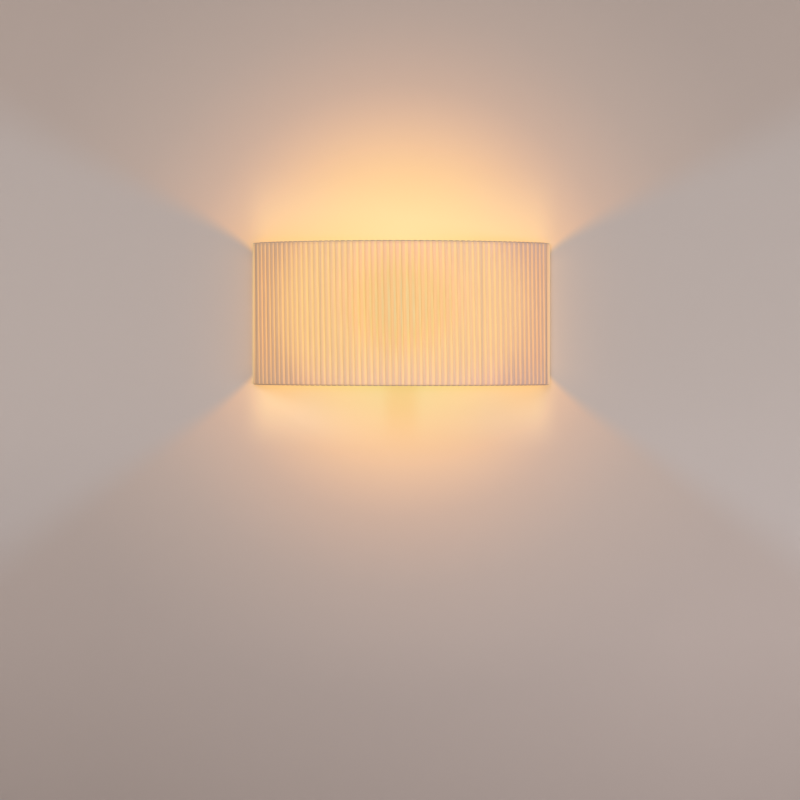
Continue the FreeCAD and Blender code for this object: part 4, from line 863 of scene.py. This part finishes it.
# What the bulb adds beside the rims, in the middle and towards the ends, and its tint up to this
# close to a rim
RIM_LIGHT = (0.02, 0.09, 0.10)
RIM_END_LIGHT = (0.16, 0.13, 0.05)
RIM_EDGE_TINT = (1.0, 0.97, 0.5)
RIM_EDGE = 0.012
# Light that leaks past the ends: its colour, the distance in which it falls to about a third, and
# the height above and below the middle up to which it is even
SIDE_GLOW = (0.168, 0.084, 0.024)
SIDE_REACH = 0.032
SIDE_HEIGHT = 0.06
# The shade's shadow starts this far outside its ends and leaves them at these slopes, above and
# below. Its edge is this soft, and softer with each metre aside.
SHADOW_START = 0.0015
SHADOW_RISE = 0.51
SHADOW_FALL = 0.692
SHADOW_EDGE = 0.006
SHADOW_SOFTER = 0.15
# The shadow's corners at the shade are rounded: how high, and how far aside
CORNER_HEIGHT = 0.009
CORNER_RUN = 0.025
# Height on the wall in metres, and how brightly the room's light falls there, painted into the wall's
# colour
WALL_LEVELS = ((-0.62, 0.85), (-0.40, 0.975), (-0.15, 1.0), (0.15, 0.935), (0.40, 0.865))
# The room's light falls more on the lower right than on the lower left
LEFT_WASH = (0.90, 0.915, 0.94)
RIGHT_WASH = (1.06, 1.08, 1.12)
PLAIN = (1.0, 1.0, 1.0)

# Stage pieces: half their width, how far the wall stands behind the light, and the floor's height
WALL_HALF = 2.6
WALL_BEHIND = 0.0006
FLOOR_HALF = 4.0
FLOOR_HEIGHT = -0.75
# Soft lights aimed at the shade: place, width, power and tint
SOFT_LIGHTS = {
    "key_light": ((-1.3, -2.8, 1.5), 1.6, 29.0, (1.0, 0.97, 0.93)),
    "fill_light": ((2.3, -2.2, -0.6), 1.8, 34.0, (0.88, 0.95, 1.0)),
}
# The bulb's own light: height above the globe's top, power, radius and tint
BULB_LIGHT_ABOVE = 0.004
BULB_POWER = 0.03
BULB_RADIUS = 0.024
BULB_TINT = (1.0, 0.72, 0.42)
ROOM_TINT = (0.93, 0.95, 1.0, 1.0)
ROOM_STRENGTH = 0.50


def out_of_shadow(tree, x, z):
    """1 where light leaves the shade above and below it, 0 in the shadow of its ends."""
    aside = minus(tree, calc(tree, "ABSOLUTE", x), SHADE_HIGH.x + SHADOW_START)
    beside = calc(tree, "MAXIMUM", aside, 0.0)
    soft = calc(tree, "MULTIPLY_ADD", beside, SHADOW_SOFTER, SHADOW_EDGE)
    corner = calc(tree, "EXPONENT", calc(tree, "DIVIDE", beside, -CORNER_RUN))
    corner = product(tree, corner, CORNER_HEIGHT)

    def beyond(rise, slope):
        past_rim = minus(tree, calc(tree, "ADD", rise, corner), SHADE_HIGH.z)
        clear = minus(tree, past_rim, product(tree, aside, slope))
        return fade(tree, calc(tree, "DIVIDE", clear, soft), -1.0, 1.0)

    in_light = calc(tree, "MAXIMUM", beyond(z, SHADOW_RISE), beyond(product(tree, z, -1.0), SHADOW_FALL))
    return calc(tree, "MAXIMUM", in_light, fade(tree, aside, -0.004, -0.001, 1.0, 0.0))


def lamp_glow(tree, x, z):
    """Light of the lamp on the wall, by distance from the bulb."""
    away = hypotenuse(tree, x, minus(tree, z, GLOW_LEVEL))
    stops = [(metres / GLOW_REACH, light) for metres, light in WALL_GLOW]
    return colour_ramp(tree, calc(tree, "DIVIDE", away, GLOW_REACH, clamp=True), stops, "B_SPLINE")


def rim_glow(tree, wide, z):
    """Light straight from the bulb beside the rims, less above and in the lampholder's shadow."""
    beyond_rim = minus(tree, calc(tree, "ABSOLUTE", z), SHADE_HIGH.z)
    above = fade(tree, z, -0.01, 0.01)
    below_share = fade(tree, beyond_rim, 0.02, 0.085, 1.0, 0.0)
    above_share = fade(tree, beyond_rim, 0.0, 0.10, 0.6, 0.0)
    share_by_side = put(tree, "ShaderNodeMix", {0: above, 2: below_share, 3: above_share})
    holder_shadow = calc(tree, "MAXIMUM", fade(tree, wide, 0.008, 0.03, 0.4, 1.0), above)
    amount = product(tree, share_by_side.outputs[0], holder_shadow,
                     fade(tree, wide, 0.165, 0.20, 1.0, 0.0))
    light = blend(tree, fade(tree, wide, 0.10, 0.175), RIM_LIGHT, RIM_END_LIGHT)
    tint = blend(tree, fade(tree, beyond_rim, 0.0, RIM_EDGE), RIM_EDGE_TINT, PLAIN)
    return scaled(tree, blend(tree, 1.0, light, tint, "MULTIPLY"), amount)


def past_canopy(tree, wide, z):
    """Distance outside the canopy on the wall; less than nothing under it."""
    low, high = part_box("canopy")
    from_middle = calc(tree, "ABSOLUTE", minus(tree, z, (low.z + high.z) / 2))
    return calc(tree, "MAXIMUM", minus(tree, wide, high.x),
                minus(tree, from_middle, (high.z - low.z) / 2))


def end_leak(tree, wide, z, in_light):
    """Light that leaks past the ends of the shade into its shadow."""
    sideways = calc(tree, "MAXIMUM", minus(tree, wide, SHADE_HIGH.x), 0.0)
    tall = minus(tree, calc(tree, "ABSOLUTE", z), SIDE_HEIGHT)
    from_end = hypotenuse(tree, sideways, calc(tree, "MAXIMUM", tall, 0.0))
    fading = calc(tree, "EXPONENT", calc(tree, "DIVIDE", from_end, -SIDE_REACH))
    return scaled(tree, SIDE_GLOW, product(tree, fading, minus(tree, 1.0, in_light)))


def wall_colour_and_light(tree, stage, x, z, in_light):
    """The wall's paint with painted light: warmer where the lamp's light falls, and by height and side as
    bright as the room's light makes it.
    """
    # paint holds the wall's colour with the lamp's light and the room's light levels painted into it
    paint = blend(tree, in_light, stage.wall, stage.warm_wall)
    lowest, highest = WALL_LEVELS[0][0], WALL_LEVELS[-1][0]
    stops = [((at - lowest) / (highest - lowest), (level,) * 3) for at, level in WALL_LEVELS]
    levels = colour_ramp(tree, fade(tree, z, lowest, highest, kind="LINEAR"), stops)
    wash = blend(tree, fade(tree, x, -0.36, 0.36, kind="LINEAR"), LEFT_WASH, RIGHT_WASH)
    wash = blend(tree, fade(tree, z, 0.0, -0.45), PLAIN, wash)
    for layer in (levels, wash):
        paint = blend(tree, 1.0, paint, layer, "MULTIPLY")
    return paint


def clear_from_behind(material, hidden=0.0):
    """Make a stage piece clear from behind, and from both sides where it is hidden."""
    tree = material.node_tree
    shader = next(node for node in tree.nodes if node.type == "BSDF_PRINCIPLED")
    output = next(node for node in tree.nodes if node.type == "OUTPUT_MATERIAL")
    behind = put(tree, "ShaderNodeNewGeometry").outputs["Backfacing"]
    see_through = put(tree, "ShaderNodeBsdfTransparent")
    both = put(tree, "ShaderNodeMixShader", {
        0: calc(tree, "MAXIMUM", behind, hidden), 1: shader.outputs[0], 2: see_through.outputs[0]})
    tree.links.new(both.outputs[0], output.inputs["Surface"])
    return material


def wall_material(stage):
    """Matt wall that shows the light which leaves the shade above and below; clear from behind."""
    material, tree, shader, place = new_material("matt_wall")
    x, _, z = xyz(tree, place)
    wide = calc(tree, "ABSOLUTE", x)
    in_light = out_of_shadow(tree, x, z)
    past_cover = past_canopy(tree, wide, z)
    glow = blend(tree, 1.0, lamp_glow(tree, x, z), rim_glow(tree, wide, z), "ADD")
    uncovered = fade(tree, past_cover, -0.002, 0.004)
    glow = scaled(tree, glow, product(tree, in_light, uncovered, stage.glow))
    glow = blend(tree, 1.0, glow, end_leak(tree, wide, z, in_light), "ADD")
    rough = fade(tree, noise(tree, place, 220.0, 3.0, 0.6), 0.3, 0.7, 0.85, 0.95)
    fill(tree, shader, {
        "Base Color": wall_colour_and_light(tree, stage, x, z, in_light), "Roughness": rough,
        "Specular IOR Level": 0.1, "Emission Color": glow, "Emission Strength": 1.0,
        "Normal": bump(tree, noise(tree, place, 500.0), 0.0001, 0.15)})
    return clear_from_behind(material, fade(tree, past_cover, -0.012, -0.008, 1.0, 0.0))


def stage_plane(name, half_size, placing, material):
    """A flat stage piece, placed by its mesh."""
    sheet = bmesh.new()
    bmesh.ops.create_grid(sheet, x_segments=1, y_segments=1, size=half_size, matrix=placing)
    plane = new_object(name, sheet, material)
    return plane


def new_light(name, kind, place, power, tint):
    lamp = bpy.data.lights.new(name, kind)
    lamp.energy = power
    lamp.color = tint
    item = bpy.data.objects.new(name, lamp)
    item.location = place
    bpy.context.scene.collection.objects.link(item)
    return item


def set_lights(scene):
    """Two soft lights, the bulb's own and an even one from all round."""
    for name, (place, width, power, tint) in SOFT_LIGHTS.items():
        soft = new_light(name, "AREA", place, power, tint)
        soft.data.shape = "DISK"
        soft.data.size = width
        soft.rotation_euler = (-Vector(place)).to_track_quat("-Z", "Y").to_euler()
    place = (0, BULB_MIDDLE[1], BULB_HIGH.z + BULB_LIGHT_ABOVE)
    bulb = new_light("bulb_light", "POINT", place, BULB_POWER, BULB_TINT)
    bulb.data.shadow_soft_size = BULB_RADIUS
    world = bpy.data.worlds.new("studio")
    world.use_nodes = True
    back = world.node_tree.nodes["Background"].inputs
    back["Color"].default_value = ROOM_TINT
    back["Strength"].default_value = ROOM_STRENGTH
    scene.world = world


def set_camera(scene, stage):
    lens = bpy.data.cameras.new("camera")
    lens.sensor_width = 36.0
    lens.lens = stage.lens
    lens.clip_end = 50.0
    camera = bpy.data.objects.new("camera", lens)
    camera.location = (-stage.camera_aside, -stage.camera_distance, -stage.camera_drop)
    camera.rotation_euler = (math.radians(90) - stage.camera_tilt, -stage.camera_roll, 0.0)
    scene.collection.objects.link(camera)
    scene.camera = camera


class WALLLIGHT_OT_stage(bpy.types.Operator):
    """Set the wall, floor, soft lights and camera"""

    bl_idname = "wall_light.stage"
    bl_label = "Set the stage"

    def execute(self, context):
        scene = context.scene
        stage = scene.wall_light_stage
        upright = Matrix.Rotation(math.radians(90), 4, "X")
        wall = stage_plane("wall", WALL_HALF, Matrix.Translation((0, WALL_BEHIND, 0)) @ upright,
                           wall_material(stage))
        wall.visible_shadow = False
        floor = finish_material("pale_floor", stage.floor, darker(stage.floor, 0.95), smooth=0.6,
                                rough=0.75, blotches=6.0, grain=300.0)
        stage_plane("floor", FLOOR_HALF, Matrix.Translation((0, 0, FLOOR_HEIGHT)),
                    clear_from_behind(floor))
        set_lights(scene)
        set_camera(scene, stage)
        scene.view_settings.view_transform = "Standard"
        return {"FINISHED"}


class WALLLIGHT_PT_parts(bpy.types.Panel):
    """Shows the buttons that set the stage and finish the wall light, and their settings"""

    bl_idname = "WALLLIGHT_PT_parts"
    bl_label = "Wall light"
    bl_space_type = "VIEW_3D"
    bl_region_type = "UI"
    bl_category = "Wall light"

    def draw(self, context):
        for operator in OPERATORS:
            self.layout.operator(operator.bl_idname)
        for settings in (getattr(context.scene, name) for name in SETTINGS):
            box = self.layout.box()
            for name in settings.__annotations__:
                box.prop(settings, name)


OPERATORS = (WALLLIGHT_OT_stage, WALLLIGHT_OT_ribbon, WALLLIGHT_OT_frame, WALLLIGHT_OT_fitting,
             WALLLIGHT_OT_leads, WALLLIGHT_OT_holder, WALLLIGHT_OT_bulb)
SETTINGS = {"wall_light_ribbon": RibbonSettings, "wall_light_finish": FinishSettings,
            "wall_light_stage": StageSettings}


def register():
    for item in (*SETTINGS.values(), *OPERATORS, WALLLIGHT_PT_parts):
        bpy.utils.register_class(item)
    for name, item in SETTINGS.items():
        setattr(bpy.types.Scene, name, bpy.props.PointerProperty(type=item))


def unregister():
    for name in SETTINGS:
        delattr(bpy.types.Scene, name)
    for item in reversed((*SETTINGS.values(), *OPERATORS, WALLLIGHT_PT_parts)):
        bpy.utils.unregister_class(item)


def main():
    register()
    for operator in OPERATORS:
        group, name = operator.bl_idname.split(".")
        getattr(getattr(bpy.ops, group), name)()


if __name__ == "__main__":
    main()
